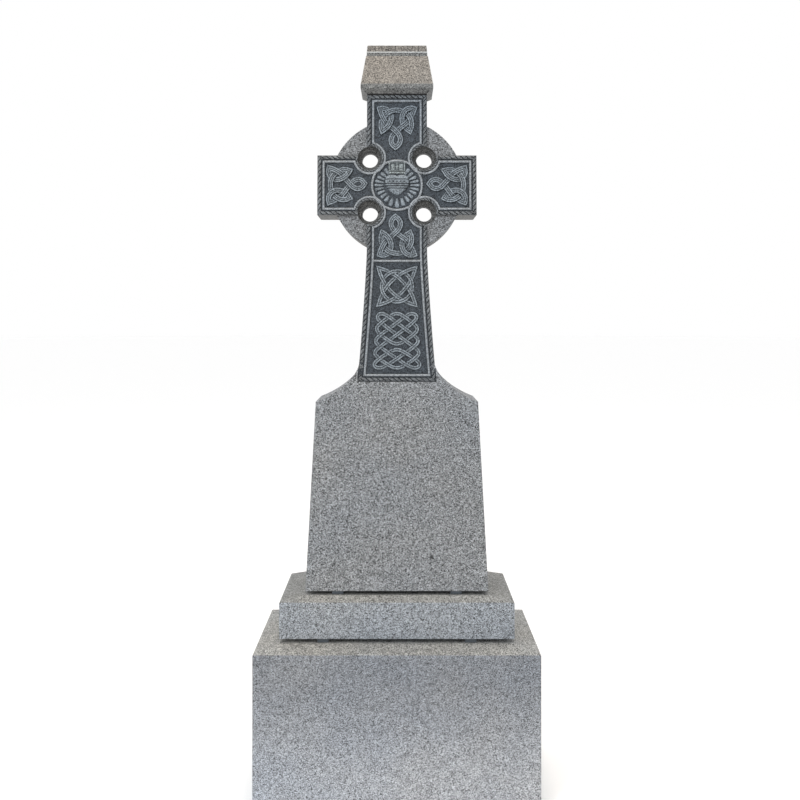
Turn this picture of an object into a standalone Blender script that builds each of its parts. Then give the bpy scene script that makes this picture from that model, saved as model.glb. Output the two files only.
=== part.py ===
"""A granite Celtic cross headstone on two base stones, in metres, with +Z up.

The front faces -Y. The origin is at the middle of the underside of the lower base.
The cross stone is drawn flat first, with parallel front and back. Its front is a relief:
every carved line is laid out in the plane of the front, and the points on it are sunk
to their depths. At the end the whole stone is battered, so it is thicker at its foot.
"""

import math

import bmesh
import bpy
import numpy as np
from mathutils.geometry import delaunay_2d_cdt

# Base stones
LOWER_BASE_WIDTH = 0.900
LOWER_BASE_DEPTH = 0.400
LOWER_BASE_FACE = 0.484
LOWER_BASE_WASH = 0.017
UPPER_BASE_WIDTH = 0.748
UPPER_BASE_DEPTH = 0.300
UPPER_BASE_FACE = 0.1155
UPPER_BASE_WASH = 0.018

# Setting packers in the two joints
LOWER_JOINT = 0.0135
UPPER_JOINT = 0.0115
PACKER_SIDE = 0.036
PACKER_CLEARANCE = 0.0003
LOWER_PACKER_SPREAD = 0.235
UPPER_PACKER_SPREAD = 0.190
PACKER_EDGE_SETBACK = 0.026

# Die: the broad lower part of the cross stone
DIE_FOOT_WIDTH = 0.586
DIE_SHOULDER_WIDTH = 0.525
DIE_HEIGHT = 0.603
SHOULDER_RISE = 0.123

# Shaft and cross head
SHAFT_FOOT_WIDTH = 0.245
SHAFT_HEIGHT = 0.365
SHAFT_CURVE = 1.25
ARM_WIDTH = 0.197
ARM_SPAN = 0.522
LOWER_ARM_LENGTH = 0.218
UPPER_ARM_LENGTH = 0.300
HEAD_THICKNESS = 0.105
BATTER = 0.0467

# Ring and the four hollows in the crooks of the arms
RING_RADIUS = 0.2205
RING_SETBACK = 0.015
HOLLOW_RADIUS = 0.0390
HOLLOW_SHIFT = 0.0088
EYE_RADIUS = 0.0265
WEB_THICKNESS = 0.034
HOLLOW_DISH = 0.006

# Cap
CAP_WIDTH = 0.2375
CAP_DEPTH = 0.145
CORBEL_HEIGHT = 0.015
FASCIA_HEIGHT = 0.016
ROOF_HEIGHT = 0.1165
ROOF_TOP_WIDTH = 0.2005
ROOF_TOP_DEPTH = 0.050
CREST_QUIRK = 0.0025
CREST_HEIGHT = 0.0215
CREST_DEPTH = 0.060
CREST_TAPER = 0.0035

# Frame round the carving: a cable moulding, a quirk and a bead
CABLE_WIDTH = 0.0135
CABLE_PITCH = 0.0200
CABLE_SLANT = 0.0080
CABLE_SINK = 0.0040
QUIRK_SINK = 0.0050
BEAD_INSET = 0.0205
BEAD_WIDTH = 0.0090
BEAD_SINK = 0.0010
EYE_BEAD_RADIUS = 0.0507
BEAD_OVERLAP = 0.0053
FRAME_FOOT = 0.058
FRAME_EASE = 0.0020
CROSS_BAR_DROP = 0.249

# Knotwork
FIELD_SINK = 0.0080
FLAT_ANGLE = 1.2
KNOT_BAND = 0.0170
KNOT_HALF_WIDTH = 0.0570
KNOT_LEAN = 0.0050
SIDE_KNOT_LENGTH = 0.1180
SIDE_KNOT_MARGIN = 0.0165
UPPER_KNOT_LENGTH = 0.1300
UPPER_KNOT_MARGIN = 0.0240
LOWER_KNOT_LENGTH = 0.1265
LOWER_KNOT_MARGIN = 0.0190
OVER_SINK = 0.0022
UNDER_SINK = 0.0052
BAND_SLOPE = 0.0020

# Ring knot and plait on the shaft
PLAIT_BAND = 0.0130
PLAIT_COLUMNS = 3
PLAIT_ROWS = 5
PLAIT_BREAK = 4
PLAIT_MARGIN = 0.0105
RING_KNOT_RADIUS = 0.0450
RING_KNOT_REACH = 0.0820
RING_KNOT_WAIST = 0.0300
RING_KNOT_MARGIN = 0.0110

# Medallion
RAY_COUNT = 26
RAY_INNER_RADIUS = 0.0430
RAY_OUTER_RADIUS = 0.0705
RAY_SINK = 0.0040
HEART_WIDTH = 0.0790
HEART_HEIGHT = 0.0660
HEART_LIFT = 0.0020
HEART_SINK = 0.0010
CROWN_WIDTH = 0.0560
CROWN_HEIGHT = 0.0360
CROWN_GAP = 0.0035
CROWN_EDGE = 0.0018
CROWN_SINK = 0.0025

# Levels and places worked out from the sizes above
LOWER_SEAT = LOWER_BASE_FACE + LOWER_BASE_WASH
UPPER_BASE_FOOT = LOWER_SEAT + LOWER_JOINT
UPPER_SEAT = UPPER_BASE_FOOT + UPPER_BASE_FACE + UPPER_BASE_WASH
DIE_FOOT = UPPER_SEAT + UPPER_JOINT
SHOULDER = DIE_FOOT + DIE_HEIGHT
SHAFT_FOOT = SHOULDER + SHOULDER_RISE
SHAFT_TOP = SHAFT_FOOT + SHAFT_HEIGHT
CENTRE = SHAFT_TOP + LOWER_ARM_LENGTH
NECK = CENTRE + UPPER_ARM_LENGTH
HALF_ARM = ARM_WIDTH / 2
HALF_HEAD = HEAD_THICKNESS / 2
FOOT_HALF_THICKNESS = HALF_HEAD + (NECK - DIE_FOOT) * BATTER
HOLLOW_OFFSET = HALF_ARM - HOLLOW_SHIFT
MEDALLION_RADIUS = math.sqrt(2) * HOLLOW_OFFSET - EYE_BEAD_RADIUS + BEAD_OVERLAP
FRAME_BOTTOM = SHAFT_FOOT - FRAME_FOOT
CROSS_BAR = CENTRE - CROSS_BAR_DROP
NECK_EMBED = CORBEL_HEIGHT * 0.6


def clear_scene():
    for old in list(bpy.data.objects):
        bpy.data.objects.remove(old, do_unlink=True)


def granite(name, colour, roughness):
    material = bpy.data.materials.new(name)
    material.use_nodes = True
    shader = material.node_tree.nodes["Principled BSDF"]
    shader.inputs["Base Color"].default_value = (*colour, 1.0)
    shader.inputs["Roughness"].default_value = roughness
    shader.inputs["Metallic"].default_value = 0.0
    return material


def add_object(name, points, faces, material=None):
    mesh = bpy.data.meshes.new(name)
    mesh.from_pydata([tuple(p) for p in points], [], [tuple(f) for f in faces])
    if material:
        mesh.materials.append(material)
    obj = bpy.data.objects.new(name, mesh)
    bpy.context.scene.collection.objects.link(obj)
    return obj


def stacked_block(name, levels, material=None):
    """A closed block through rectangles given as (half width, half depth, height)."""
    points = []
    faces = [(3, 2, 1, 0)]
    for half_width, half_depth, z in levels:
        corners = [(-1, -1), (1, -1), (1, 1), (-1, 1)]
        points += [(sx * half_width, sy * half_depth, z) for sx, sy in corners]
    for level in range(len(levels) - 1):
        low = 4 * level
        for side in range(4):
            turn = (side + 1) % 4
            faces.append((low + side, low + turn, low + 4 + turn, low + 4 + side))
    top = 4 * (len(levels) - 1)
    faces.append((top, top + 1, top + 2, top + 3))
    return add_object(name, points, faces, material)


def base_stone(name, width, depth, foot, face, wash, seat_width, seat_depth, material):
    """A block whose top slopes gently from its seat down to its outer edges."""
    levels = [
        (width / 2, depth / 2, foot),
        (width / 2, depth / 2, foot + face),
        (seat_width / 2, seat_depth / 2, foot + face + wash),
    ]
    return stacked_block(name, levels, material)


def packers(name, spread, depth, seat, joint, material):
    """Four small packers that carry a stone clear of the one below it."""
    half = PACKER_SIDE / 2
    reach = depth / 2 - PACKER_EDGE_SETBACK
    number = 0
    for x in (-spread, spread):
        for y in (-reach, reach):
            number += 1
            low = seat + PACKER_CLEARANCE
            high = seat + joint - PACKER_CLEARANCE
            block = stacked_block(f"{name}_{number}", [(half, half, low), (half, half, high)], material)
            block.location = (x, y, 0)


def apply_boolean(target, tool, operation):
    modifier = target.modifiers.new(operation.lower(), 'BOOLEAN')
    modifier.operation = operation
    modifier.solver = 'EXACT'
    modifier.object = tool
    bpy.context.view_layer.update()
    evaluated = target.evaluated_get(bpy.context.evaluated_depsgraph_get())
    mesh = bpy.data.meshes.new_from_object(evaluated)
    target.modifiers.clear()
    target.data = mesh
    bpy.data.objects.remove(tool, do_unlink=True)


def cubic(p0, p1, p2, p3, steps):
    """Points of a Bezier curve, without its first point."""
    t = np.linspace(0, 1, steps + 1)[1:, None]
    p0, p1, p2, p3 = (np.array(p, float) for p in (p0, p1, p2, p3))
    return (1 - t) ** 3 * p0 + 3 * (1 - t) ** 2 * t * p1 + 3 * (1 - t) * t ** 2 * p2 + t ** 3 * p3


def shaft_half_width(z):
    """Half the width of the shaft, which swells slightly towards its foot."""
    drop = np.clip((SHAFT_TOP - z) / SHAFT_HEIGHT, 0, None)
    return HALF_ARM + (SHAFT_FOOT_WIDTH / 2 - HALF_ARM) * drop ** SHAFT_CURVE


def right_outline():
    """The right half of the stone's outline from the foot of the die to the neck."""
    foot = (DIE_FOOT_WIDTH / 2, DIE_FOOT)
    shoulder = (DIE_SHOULDER_WIDTH / 2, SHOULDER)
    shaft = (SHAFT_FOOT_WIDTH / 2, SHAFT_FOOT)
    run = shoulder[0] - shaft[0]
    lift = SHOULDER_RISE
    curve = cubic(shoulder, (shoulder[0] - 0.45 * run, SHOULDER + 0.19 * lift),
                  (shaft[0] + 0.07 * run, SHAFT_FOOT - 0.41 * lift), shaft, 9)
    points = [foot, shoulder, *curve]
    for z in np.linspace(SHAFT_FOOT, SHAFT_TOP, 7)[1:]:
        points.append((float(shaft_half_width(z)), z))
    points += [(HALF_ARM, CENTRE - HALF_ARM), (ARM_SPAN / 2, CENTRE - HALF_ARM)]
    points += [(ARM_SPAN / 2, CENTRE + HALF_ARM), (HALF_ARM, CENTRE + HALF_ARM)]
    points.append((HALF_ARM, NECK + NECK_EMBED))
    return np.array(points, float)


def mirrored(points):
    return np.array([(-x, z) for x, z in points])


def smooth(points, per_span, closed=False):
    """A Catmull-Rom curve through the points."""
    p = np.array(points, float)
    count = len(p) if closed else len(p) - 1
    result = []
    for i in range(count):
        if closed:
            a, b, c, d = (p[(i + k) % len(p)] for k in (-1, 0, 1, 2))
        else:
            a, b, c, d = p[max(i - 1, 0)], p[i], p[i + 1], p[min(i + 2, len(p) - 1)]
        for step in range(per_span):
            t = step / per_span
            result.append(0.5 * (2 * b + (c - a) * t + (2 * a - 5 * b + 4 * c - d) * t ** 2
                                 + (3 * b - a - 3 * c + d) * t ** 3))
    if not closed:
        result.append(p[-1])
    return result


def offset_vectors(path, closed):
    """The step that moves each point of a path one unit to its left, mitred at corners."""
    ahead = np.roll(path, -1, axis=0) - path
    if not closed:
        ahead[-1] = ahead[-2]
    ahead /= np.linalg.norm(ahead, axis=1)[:, None]
    behind = np.roll(ahead, 1, axis=0)
    if not closed:
        behind[0] = ahead[0]
    normal = np.stack([-ahead[:, 1] - behind[:, 1], ahead[:, 0] + behind[:, 0]], axis=1)
    normal /= np.maximum(np.linalg.norm(normal, axis=1)[:, None], 1e-9)
    left = np.stack([-ahead[:, 1], ahead[:, 0]], axis=1)
    lean = np.maximum(np.sum(normal * left, axis=1), 0.42)
    return normal / lean[:, None]


def crossings(paths):
    """Where closed paths cross: (path, place, path, place) with places in point numbers."""
    starts = np.concatenate(paths)
    ends = np.concatenate([np.roll(p, -1, axis=0) for p in paths])
    owner = np.concatenate([np.full(len(p), i) for i, p in enumerate(paths)])
    place = np.concatenate([np.arange(len(p)) for p in paths])
    found = []
    for k in range(len(starts) - 1):
        step = ends[k] - starts[k]
        others = slice(k + 1, None)
        across = ends[others] - starts[others]
        gap = starts[others] - starts[k]
        area = step[0] * across[:, 1] - step[1] * across[:, 0]
        safe = np.where(np.abs(area) < 1e-12, 1e9, area)
        s = (gap[:, 0] * across[:, 1] - gap[:, 1] * across[:, 0]) / safe
        t = (gap[:, 0] * step[1] - gap[:, 1] * step[0]) / safe
        for hit in np.nonzero((s >= 0) & (s < 1) & (t >= 0) & (t < 1))[0]:
            other = k + 1 + hit
            same = owner[k] == owner[other]
            length = len(paths[owner[k]])
            if same and (place[other] - place[k]) % length in (1, length - 1):
                continue
            found.append((owner[k], place[k] + s[hit], owner[other], place[other] + t[hit]))
    return found


def woven_levels(paths, over, under):
    """A level for each point of the closed paths, which pass over and under in turn."""
    visits = [[] for _ in paths]
    for number, (first, place, second, other_place) in enumerate(crossings(paths)):
        visits[first].append((place, number, 0))
        visits[second].append((other_place, number, 1))
    above = {}
    levels = [None] * len(paths)
    waiting = list(range(len(paths)))
    while waiting:
        chosen = next((p for p in waiting if any(n in above for _, n, _ in visits[p])), waiting[0])
        waiting.remove(chosen)
        order = sorted(visits[chosen])
        lead = 1
        for i, (_, number, side) in enumerate(order):
            if number in above:
                lead = above[number] * (-1) ** (i + side)
                break
        for i, (_, number, side) in enumerate(order):
            above.setdefault(number, lead * (-1) ** (i + side))
        length = len(paths[chosen])
        if not order:
            levels[chosen] = np.full(length, over)
            continue
        places = np.array([place for place, _, _ in order])
        signs = [lead * (-1) ** i for i in range(len(order))]
        wave = np.interp(np.arange(length), np.concatenate([places - length, places, places + length]),
                         np.tile(signs, 3))
        levels[chosen] = 0.5 * (over + under) + 0.5 * (over - under) * np.sin(0.5 * math.pi * wave)
    return levels


class Relief:
    """The carved front: lines in the plane of the front, with a depth at every point."""

    def __init__(self):
        self.points = []
        self.depths = []
        self.edges = []
        self.bands = []

    def line(self, points, closed=False, depths=None):
        first = len(self.points)
        self.points += [tuple(p) for p in points]
        self.depths += list(depths) if depths is not None else [None] * len(points)
        count = len(points)
        self.edges += [(first + i, first + i + 1) for i in range(count - 1)]
        if closed:
            self.edges.append((first + count - 1, first))
        return first

    def band(self, path, half_top, half_foot, levels, closed):
        """A raised strip along a path, with sloping sides."""
        path = np.array(path, float)
        sideways = offset_vectors(path, closed)
        rows = (-half_foot, 0.0, half_foot) if half_top == 0 else (-half_foot, -half_top, half_top, half_foot)
        for row in rows:
            self.line(path + row * sideways, closed)
        levels = np.broadcast_to(np.array(levels, float), (len(path),))
        self.bands.append((path, sideways, half_top, half_foot, levels, closed))

    def ridge(self, outline, crest, foot_depth, crest_depth):
        """A small roof shape: a closed outline with a raised line inside it."""
        self.line(outline, True, [foot_depth] * len(outline))
        self.line(crest, False, [crest_depth] * len(crest))

    def depth_at(self, points, ground):
        depth = ground(points)
        for path, sideways, half_top, half_foot, levels, closed in self.bands:
            count = len(path) if closed else len(path) - 1
            for k in range(count):
                n = (k + 1) % len(path)
                run = path[n] - path[k]
                length = math.hypot(*run)
                along = run / length
                left = np.array([-along[1], along[0]])
                gap = points - path[k]
                v = gap @ left
                near = np.abs(v) <= half_foot + 1e-7
                if not near.any():
                    continue
                u = gap @ along
                start = v * (sideways[k] @ along)
                stop = length + v * (sideways[n] @ along)
                t = (u - start) / np.maximum(stop - start, 1e-9)
                inside = near & (t >= -1e-4) & (t <= 1 + 1e-4)
                top = levels[k] + (levels[n] - levels[k]) * np.clip(t, 0, 1)
                rise = np.clip((half_foot - np.abs(v)) / (half_foot - half_top), 0, 1)
                height = depth + (top - depth) * rise
                depth = np.where(inside & (height < depth), height, depth)
        return depth


def arm_point(arm, along, across):
    """A point of the front, from its distance along an arm and to the arm's side."""
    if arm == "right":
        return (along, CENTRE + across)
    if arm == "left":
        return (-along, CENTRE + across)
    if arm == "upper":
        return (-across, CENTRE + along)
    return (-across, CENTRE - along)


def arm_knot(arm, start, length):
    """The closed strand of one arm's knot: half of it is drawn and half is its mirror image.

    Each point gives shares of the knot's length and of half its width. The strand turns
    sharply at the three tips between the runs.
    """
    arc = [(0.953, 0.0), (0.911, 0.41), (0.80, 0.70), (0.667, 0.85), (0.533, 0.87), (0.417, 0.79)]
    back = [(0.417, 0.79), (0.50, 0.54), (0.628, 0.36), (0.769, 0.31), (0.911, 0.42),
            (0.985, 0.63), (1.0, 0.84), (0.983, 1.0)]
    loop = [(0.983, 1.0), (0.856, 0.90), (0.717, 0.74), (0.606, 0.55), (0.511, 0.28),
            (0.411, 0.03), (0.317, -0.17), (0.194, -0.27), (0.081, -0.20), (0.0, 0.0)]

    def flip(run):
        return [(a, -b) for a, b in reversed(run)]

    runs = [flip(arc)[:-1] + arc, back, loop, flip(loop), flip(back)]
    path = []
    for run in runs:
        path += smooth(run, 2)[:-1]
    placed = []
    for a, b in path:
        across = b * KNOT_HALF_WIDTH + KNOT_LEAN * (1 - a)
        placed.append(arm_point(arm, start + a * length, across))
    return np.array(placed)


def plait_paths(low, high):
    """Closed strands of the shaft's plait, traced through a grid with reflecting edges.

    Grid places with an odd sum are crossings. At a wall the strands turn back instead of
    crossing, so the plait falls into loops there.
    """
    wide = 2 * PLAIT_COLUMNS
    tall = 2 * PLAIT_ROWS
    middle = wide // 2
    level_walls = {(i, j) for i in range(1, wide, 2) for j in (0, tall)}
    level_walls.add((middle, PLAIT_BREAK))
    used = set()
    placed = []
    for i in range(1, wide, 2):
        for z, dz in ((0, 1), (tall, -1)):
            x, dx = i, 1
            strand = []
            while (x, z, dx, dz) not in used:
                used.add((x, z, dx, dz))
                used.add((x + dx, z + dz, -dx, -dz))
                x, z = x + dx, z + dz
                pull = 0.30
                if x in (0, wide):
                    strand.append((x - pull * dx, z))
                    dx = -dx
                elif (x, z) in level_walls:
                    strand.append((x, z - pull * dz))
                    dz = -dz
                else:
                    strand.append((x, z))
            if not strand:
                continue
            rounded = corner_cut(np.array(strand, float))
            heights = low + (high - low) * rounded[:, 1] / tall
            reach = shaft_half_width(heights) - BEAD_INSET - BEAD_WIDTH / 2 - PLAIT_MARGIN
            placed.append(np.stack([reach * (rounded[:, 0] / middle - 1), heights], axis=1))
    return placed


def corner_cut(path):
    """Rounds the turns of a closed path and leaves its straight runs alone."""
    after = np.roll(path, -1, axis=0)
    cut = np.empty((2 * len(path), 2))
    cut[0::2] = 0.72 * path + 0.28 * after
    cut[1::2] = 0.28 * path + 0.72 * after
    return cut


def circle(centre, radius, count, start=0.0, sweep=2 * math.pi):
    closed = abs(sweep - 2 * math.pi) < 1e-9
    steps = count if closed else count + 1
    angles = start + sweep * np.arange(steps) / count
    return np.stack([centre[0] + radius * np.cos(angles), centre[1] + radius * np.sin(angles)], axis=1)


def eye_centres():
    return [(sx * HOLLOW_OFFSET, CENTRE + sz * HOLLOW_OFFSET) for sx in (-1, 1) for sz in (-1, 1)]


def frame_chains():
    """Outer edges of the four framed fields, each from one hollow round to the next.

    The inside of the stone lies to the left of each chain. The start and end of a chain
    are inside the hollows.
    """
    near = HOLLOW_OFFSET + HOLLOW_RADIUS * 0.93
    half_span = ARM_SPAN / 2
    right = [(near, CENTRE - HALF_ARM), (half_span, CENTRE - HALF_ARM),
             (half_span, CENTRE + HALF_ARM), (near, CENTRE + HALF_ARM)]
    upper = [(HALF_ARM, CENTRE + near), (HALF_ARM, NECK), (-HALF_ARM, NECK), (-HALF_ARM, CENTRE + near)]
    left = [(-x, z) for x, z in reversed(right)]
    side = [(float(shaft_half_width(FRAME_BOTTOM + z)), FRAME_BOTTOM + z)
            for z in np.linspace(0, SHAFT_TOP - FRAME_BOTTOM, 9)]
    side.append((HALF_ARM, CENTRE - near))
    lower = [(-x, z) for x, z in reversed(side)] + side
    return {"right": right, "upper": upper, "left": left, "lower": lower}


def inset_chain(chain, distance):
    path = np.array(chain, float)
    return path + distance * offset_vectors(path, False)


def carve_cable(relief, outer, inner):
    """Twists of a rope between two lines that run side by side."""
    for k in range(len(outer) - 1):
        a0, a1 = np.array(outer[k]), np.array(outer[k + 1])
        b0, b1 = np.array(inner[k]), np.array(inner[k + 1])
        length = np.linalg.norm(a1 - a0)
        count = max(1, round(length / CABLE_PITCH))
        lean = min(0.35, CABLE_SLANT / length)
        for i in range(count):
            first = i / count
            last = (i + 1) / count
            outer_first = a0 + (a1 - a0) * first
            outer_last = a0 + (a1 - a0) * last
            inner_first = b0 + (b1 - b0) * min(1, first + lean * (first > 0))
            inner_last = b0 + (b1 - b0) * min(1, last + lean * (last < 1))
            low = 0.5 * (outer_first + inner_first)
            high = 0.5 * (outer_last + inner_last)
            crest = [low + 0.5 * (high - low)]
            outline = [outer_first, outer_last, inner_last, inner_first]
            relief.ridge(outline, crest, CABLE_SINK, 0.0)


def carve_frames(relief):
    meet = math.sqrt(EYE_BEAD_RADIUS ** 2 - (HOLLOW_OFFSET - HALF_ARM + BEAD_INSET) ** 2)
    for chain in frame_chains().values():
        carve_cable(relief, chain, inset_chain(chain, CABLE_WIDTH))
        bead = inset_chain(chain, BEAD_INSET)
        for end, inward in ((0, 1), (-1, -2)):
            direction = np.sign(bead[inward] - bead[end])
            axis = 0 if abs(bead[inward][0] - bead[end][0]) > abs(bead[inward][1] - bead[end][1]) else 1
            centre = CENTRE if axis else 0.0
            bead[end][axis] = centre + direction[axis] * (HOLLOW_OFFSET + meet)
        relief.band(bead, 0, BEAD_WIDTH / 2, BEAD_SINK, False)
    lean = math.asin((HOLLOW_OFFSET - HALF_ARM + BEAD_INSET) / EYE_BEAD_RADIUS)
    for x, z in eye_centres():
        facing = math.atan2(CENTRE - z, -x)
        sweep = 1.5 * math.pi - 2 * lean
        arc = circle((x, z), EYE_BEAD_RADIUS, 18, facing - sweep / 2, sweep)
        relief.band(arc, 0, BEAD_WIDTH / 2, BEAD_SINK, False)
    relief.band(circle((0, CENTRE), MEDALLION_RADIUS, 40), 0, BEAD_WIDTH / 2, BEAD_SINK, True)
    half_bar = float(shaft_half_width(CROSS_BAR)) - BEAD_INSET
    relief.band([(-half_bar, CROSS_BAR), (half_bar, CROSS_BAR)], 0, BEAD_WIDTH / 2, BEAD_SINK, False)
    shaft_edge = float(shaft_half_width(SHAFT_FOOT))
    corner = float(shaft_half_width(FRAME_BOTTOM)) + FRAME_EASE
    level = FRAME_BOTTOM - FRAME_EASE
    border = [(-shaft_edge, SHAFT_FOOT), (-corner, level), (corner, level), (shaft_edge, SHAFT_FOOT)]
    relief.line(border, False, [0.0] * len(border))


def carve_knots(relief):
    ends = {
        "right": (ARM_SPAN / 2 - BEAD_INSET, SIDE_KNOT_LENGTH, SIDE_KNOT_MARGIN),
        "left": (ARM_SPAN / 2 - BEAD_INSET, SIDE_KNOT_LENGTH, SIDE_KNOT_MARGIN),
        "upper": (UPPER_ARM_LENGTH - BEAD_INSET, UPPER_KNOT_LENGTH, UPPER_KNOT_MARGIN),
        "lower": (CROSS_BAR_DROP, LOWER_KNOT_LENGTH, LOWER_KNOT_MARGIN),
    }
    for arm, (bead, length, margin) in ends.items():
        path = arm_knot(arm, bead - margin - length, length)
        levels = woven_levels([path], OVER_SINK, UNDER_SINK)
        half = KNOT_BAND / 2
        relief.band(path, half - BAND_SLOPE, half, levels[0], True)


def ring_knot_paths(centre):
    """A ring, and a strand that laces through it with a lobe in each corner."""
    angles = 2 * math.pi * np.arange(48) / 48
    mean = 0.5 * (RING_KNOT_REACH + RING_KNOT_WAIST)
    swing = 0.5 * (RING_KNOT_REACH - RING_KNOT_WAIST)
    radius = mean - swing * np.cos(4 * angles - 0.3 * np.sin(4 * angles))
    lobes = np.stack([radius * np.cos(angles), centre + radius * np.sin(angles)], axis=1)
    return [circle((0.0, centre), RING_KNOT_RADIUS, 20), lobes]


def carve_plait(relief):
    """The shaft's panel: a ring knot above a plait."""
    corner = RING_KNOT_REACH / math.sqrt(2) + PLAIT_BAND / 2
    ring_centre = CROSS_BAR - BEAD_WIDTH / 2 - RING_KNOT_MARGIN - corner
    low = FRAME_BOTTOM + BEAD_INSET + BEAD_WIDTH / 2 + PLAIT_MARGIN
    high = ring_centre - corner - PLAIT_MARGIN
    half = PLAIT_BAND / 2
    for paths in (ring_knot_paths(ring_centre), plait_paths(low, high)):
        for path, levels in zip(paths, woven_levels(paths, OVER_SINK, UNDER_SINK)):
            relief.band(path, half - BAND_SLOPE, half, levels, True)


def heart_outline(count):
    """A heart with its notch at the top, centred on its middle."""
    t = 2 * math.pi * np.arange(count) / count
    x = np.sin(t) ** 3
    z = 13 * np.cos(t) - 5 * np.cos(2 * t) - 2 * np.cos(3 * t) - np.cos(4 * t)
    z -= 0.5 * (z.max() + z.min())
    z /= z.max() - z.min()
    return np.stack([0.5 * HEART_WIDTH * x, HEART_HEIGHT * z], axis=1)


def crown_outline(foot):
    """A crown with a square end each side and a small upright in the middle."""
    half = CROWN_WIDTH / 2
    rise = CROWN_HEIGHT
    right = [(0.80 * half, 0.0), (0.84 * half, 0.24 * rise), (half, 0.60 * rise), (half, 0.96 * rise),
             (0.62 * half, 0.96 * rise), (0.50 * half, 0.62 * rise), (0.18 * half, 0.62 * rise),
             (0.18 * half, rise)]
    outline = right + [(-x, z) for x, z in reversed(right)]
    return np.array(outline) + np.array([0.0, foot])


def carve_medallion(relief):
    """A crowned heart in a wreath of rays."""
    heart_centre = np.array([0.0, CENTRE + HEART_LIFT])
    crown_foot = heart_centre[1] + HEART_HEIGHT / 2 + CROWN_GAP
    gap = 2 * math.pi / RAY_COUNT
    for i in range(RAY_COUNT):
        angle = math.pi / 2 + (i + 0.5) * gap
        outward = np.array([math.cos(angle), math.sin(angle)])
        sideways = np.array([-outward[1], outward[0]])
        broad = RAY_OUTER_RADIUS * gap * 0.40
        narrow = RAY_INNER_RADIUS * gap * 0.30
        if outward[1] > 0 and abs(outward[0]) * RAY_OUTER_RADIUS - broad < CROWN_WIDTH / 2:
            continue
        root = np.array([0.0, CENTRE]) + outward * RAY_INNER_RADIUS
        tip = np.array([0.0, CENTRE]) + outward * RAY_OUTER_RADIUS
        shoulder = tip - outward * broad * 0.6
        outline = [root - sideways * narrow, shoulder - sideways * broad, tip,
                   shoulder + sideways * broad, root + sideways * narrow]
        crest = [root + 0.12 * (tip - root), root + 0.85 * (tip - root)]
        relief.ridge(outline, crest, FIELD_SINK, RAY_SINK)
    heart = heart_outline(22)
    dome_edge = 0.7 * HEART_SINK + 0.3 * FIELD_SINK
    for share, depth in ((1.0, FIELD_SINK), (0.86, dome_edge), (0.45, HEART_SINK)):
        relief.line(heart * share + heart_centre, True, [depth] * len(heart))
    crown = crown_outline(crown_foot)
    face = crown + CROWN_EDGE * offset_vectors(crown, True)
    relief.line(crown, True, [FIELD_SINK] * len(crown))
    relief.line(face, True, [CROWN_SINK] * len(face))


def ground_depth(points):
    """How deep the plain surface lies at each point of the front."""
    x, z = np.abs(points[:, 0]), points[:, 1]
    inset = BEAD_INSET
    upright = (x < shaft_half_width(z) - inset) & (z > FRAME_BOTTOM + inset) & (z < NECK - inset)
    level = (np.abs(z - CENTRE) < HALF_ARM - inset) & (x < ARM_SPAN / 2 - inset)
    field = upright | level
    for ex, ez in eye_centres():
        field &= np.hypot(points[:, 0] - ex, z - ez) > EYE_BEAD_RADIUS
    cable = CABLE_WIDTH + 1e-6
    strip_upright = (x < shaft_half_width(z) - cable) & (z > FRAME_BOTTOM + cable) & (z < NECK - cable)
    strip_level = (np.abs(z - CENTRE) < HALF_ARM - cable) & (x < ARM_SPAN / 2 - cable)
    strip = strip_upright | strip_level
    depth = np.where(strip, QUIRK_SINK, 0.0)
    return np.where(field, FIELD_SINK, depth)


def front_relief(outline):
    relief = Relief()
    relief.line(outline, True, [0.0] * len(outline))
    carve_frames(relief)
    carve_knots(relief)
    carve_plait(relief)
    carve_medallion(relief)
    return relief


def relief_slab(name, outline):
    """A slab with the carved relief in front, a flat back and upright edges."""
    relief = front_relief(outline)
    ring = tuple(range(len(outline)))
    result = delaunay_2d_cdt(relief.points, relief.edges, [ring], 1, 1e-6)
    flat, faces, sources = result[0], result[2], result[3]
    points = np.array([tuple(p) for p in flat])
    depth = relief.depth_at(points, ground_depth)
    for i, origin in enumerate(sources):
        known = [relief.depths[o] for o in origin if relief.depths[o] is not None]
        if known:
            depth[i] = min(known)
    mesh = bmesh.new()
    front = [mesh.verts.new((x, -HALF_HEAD + d, z)) for (x, z), d in zip(points, depth)]
    for face in faces:
        mesh.faces.new([front[i] for i in face])
    bmesh.ops.recalc_face_normals(mesh, faces=mesh.faces)
    rim = [edge for edge in mesh.edges if edge.is_boundary]
    extruded = bmesh.ops.extrude_edge_only(mesh, edges=rim)["geom"]
    for element in extruded:
        if isinstance(element, bmesh.types.BMVert):
            element.co.y = HALF_HEAD
    back = [e for e in extruded if isinstance(e, bmesh.types.BMEdge) and e.is_boundary]
    bmesh.ops.contextual_create(mesh, geom=back)
    bmesh.ops.recalc_face_normals(mesh, faces=mesh.faces)
    bmesh.ops.dissolve_limit(mesh, angle_limit=math.radians(FLAT_ANGLE), verts=mesh.verts, edges=mesh.edges)
    bmesh.ops.triangulate(mesh, faces=mesh.faces)
    data = bpy.data.meshes.new(name)
    mesh.to_mesh(data)
    mesh.free()
    slab = bpy.data.objects.new(name, data)
    bpy.context.scene.collection.objects.link(slab)
    return slab


def turned(name, profile, centre, count):
    """A closed solid turned about a line along Y, through (radius, y) points."""
    points = []
    faces = []
    for radius, y in profile:
        for x, z in circle(centre, radius, count):
            points.append((x, y, z))
    for row in range(len(profile) - 1):
        for i in range(count):
            n = (i + 1) % count
            faces.append((row * count + i, (row + 1) * count + i, (row + 1) * count + n, row * count + n))
    faces.append(tuple(range(count)))
    last = (len(profile) - 1) * count
    faces.append(tuple(last + i for i in reversed(range(count))))
    return add_object(name, points, faces)


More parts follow.
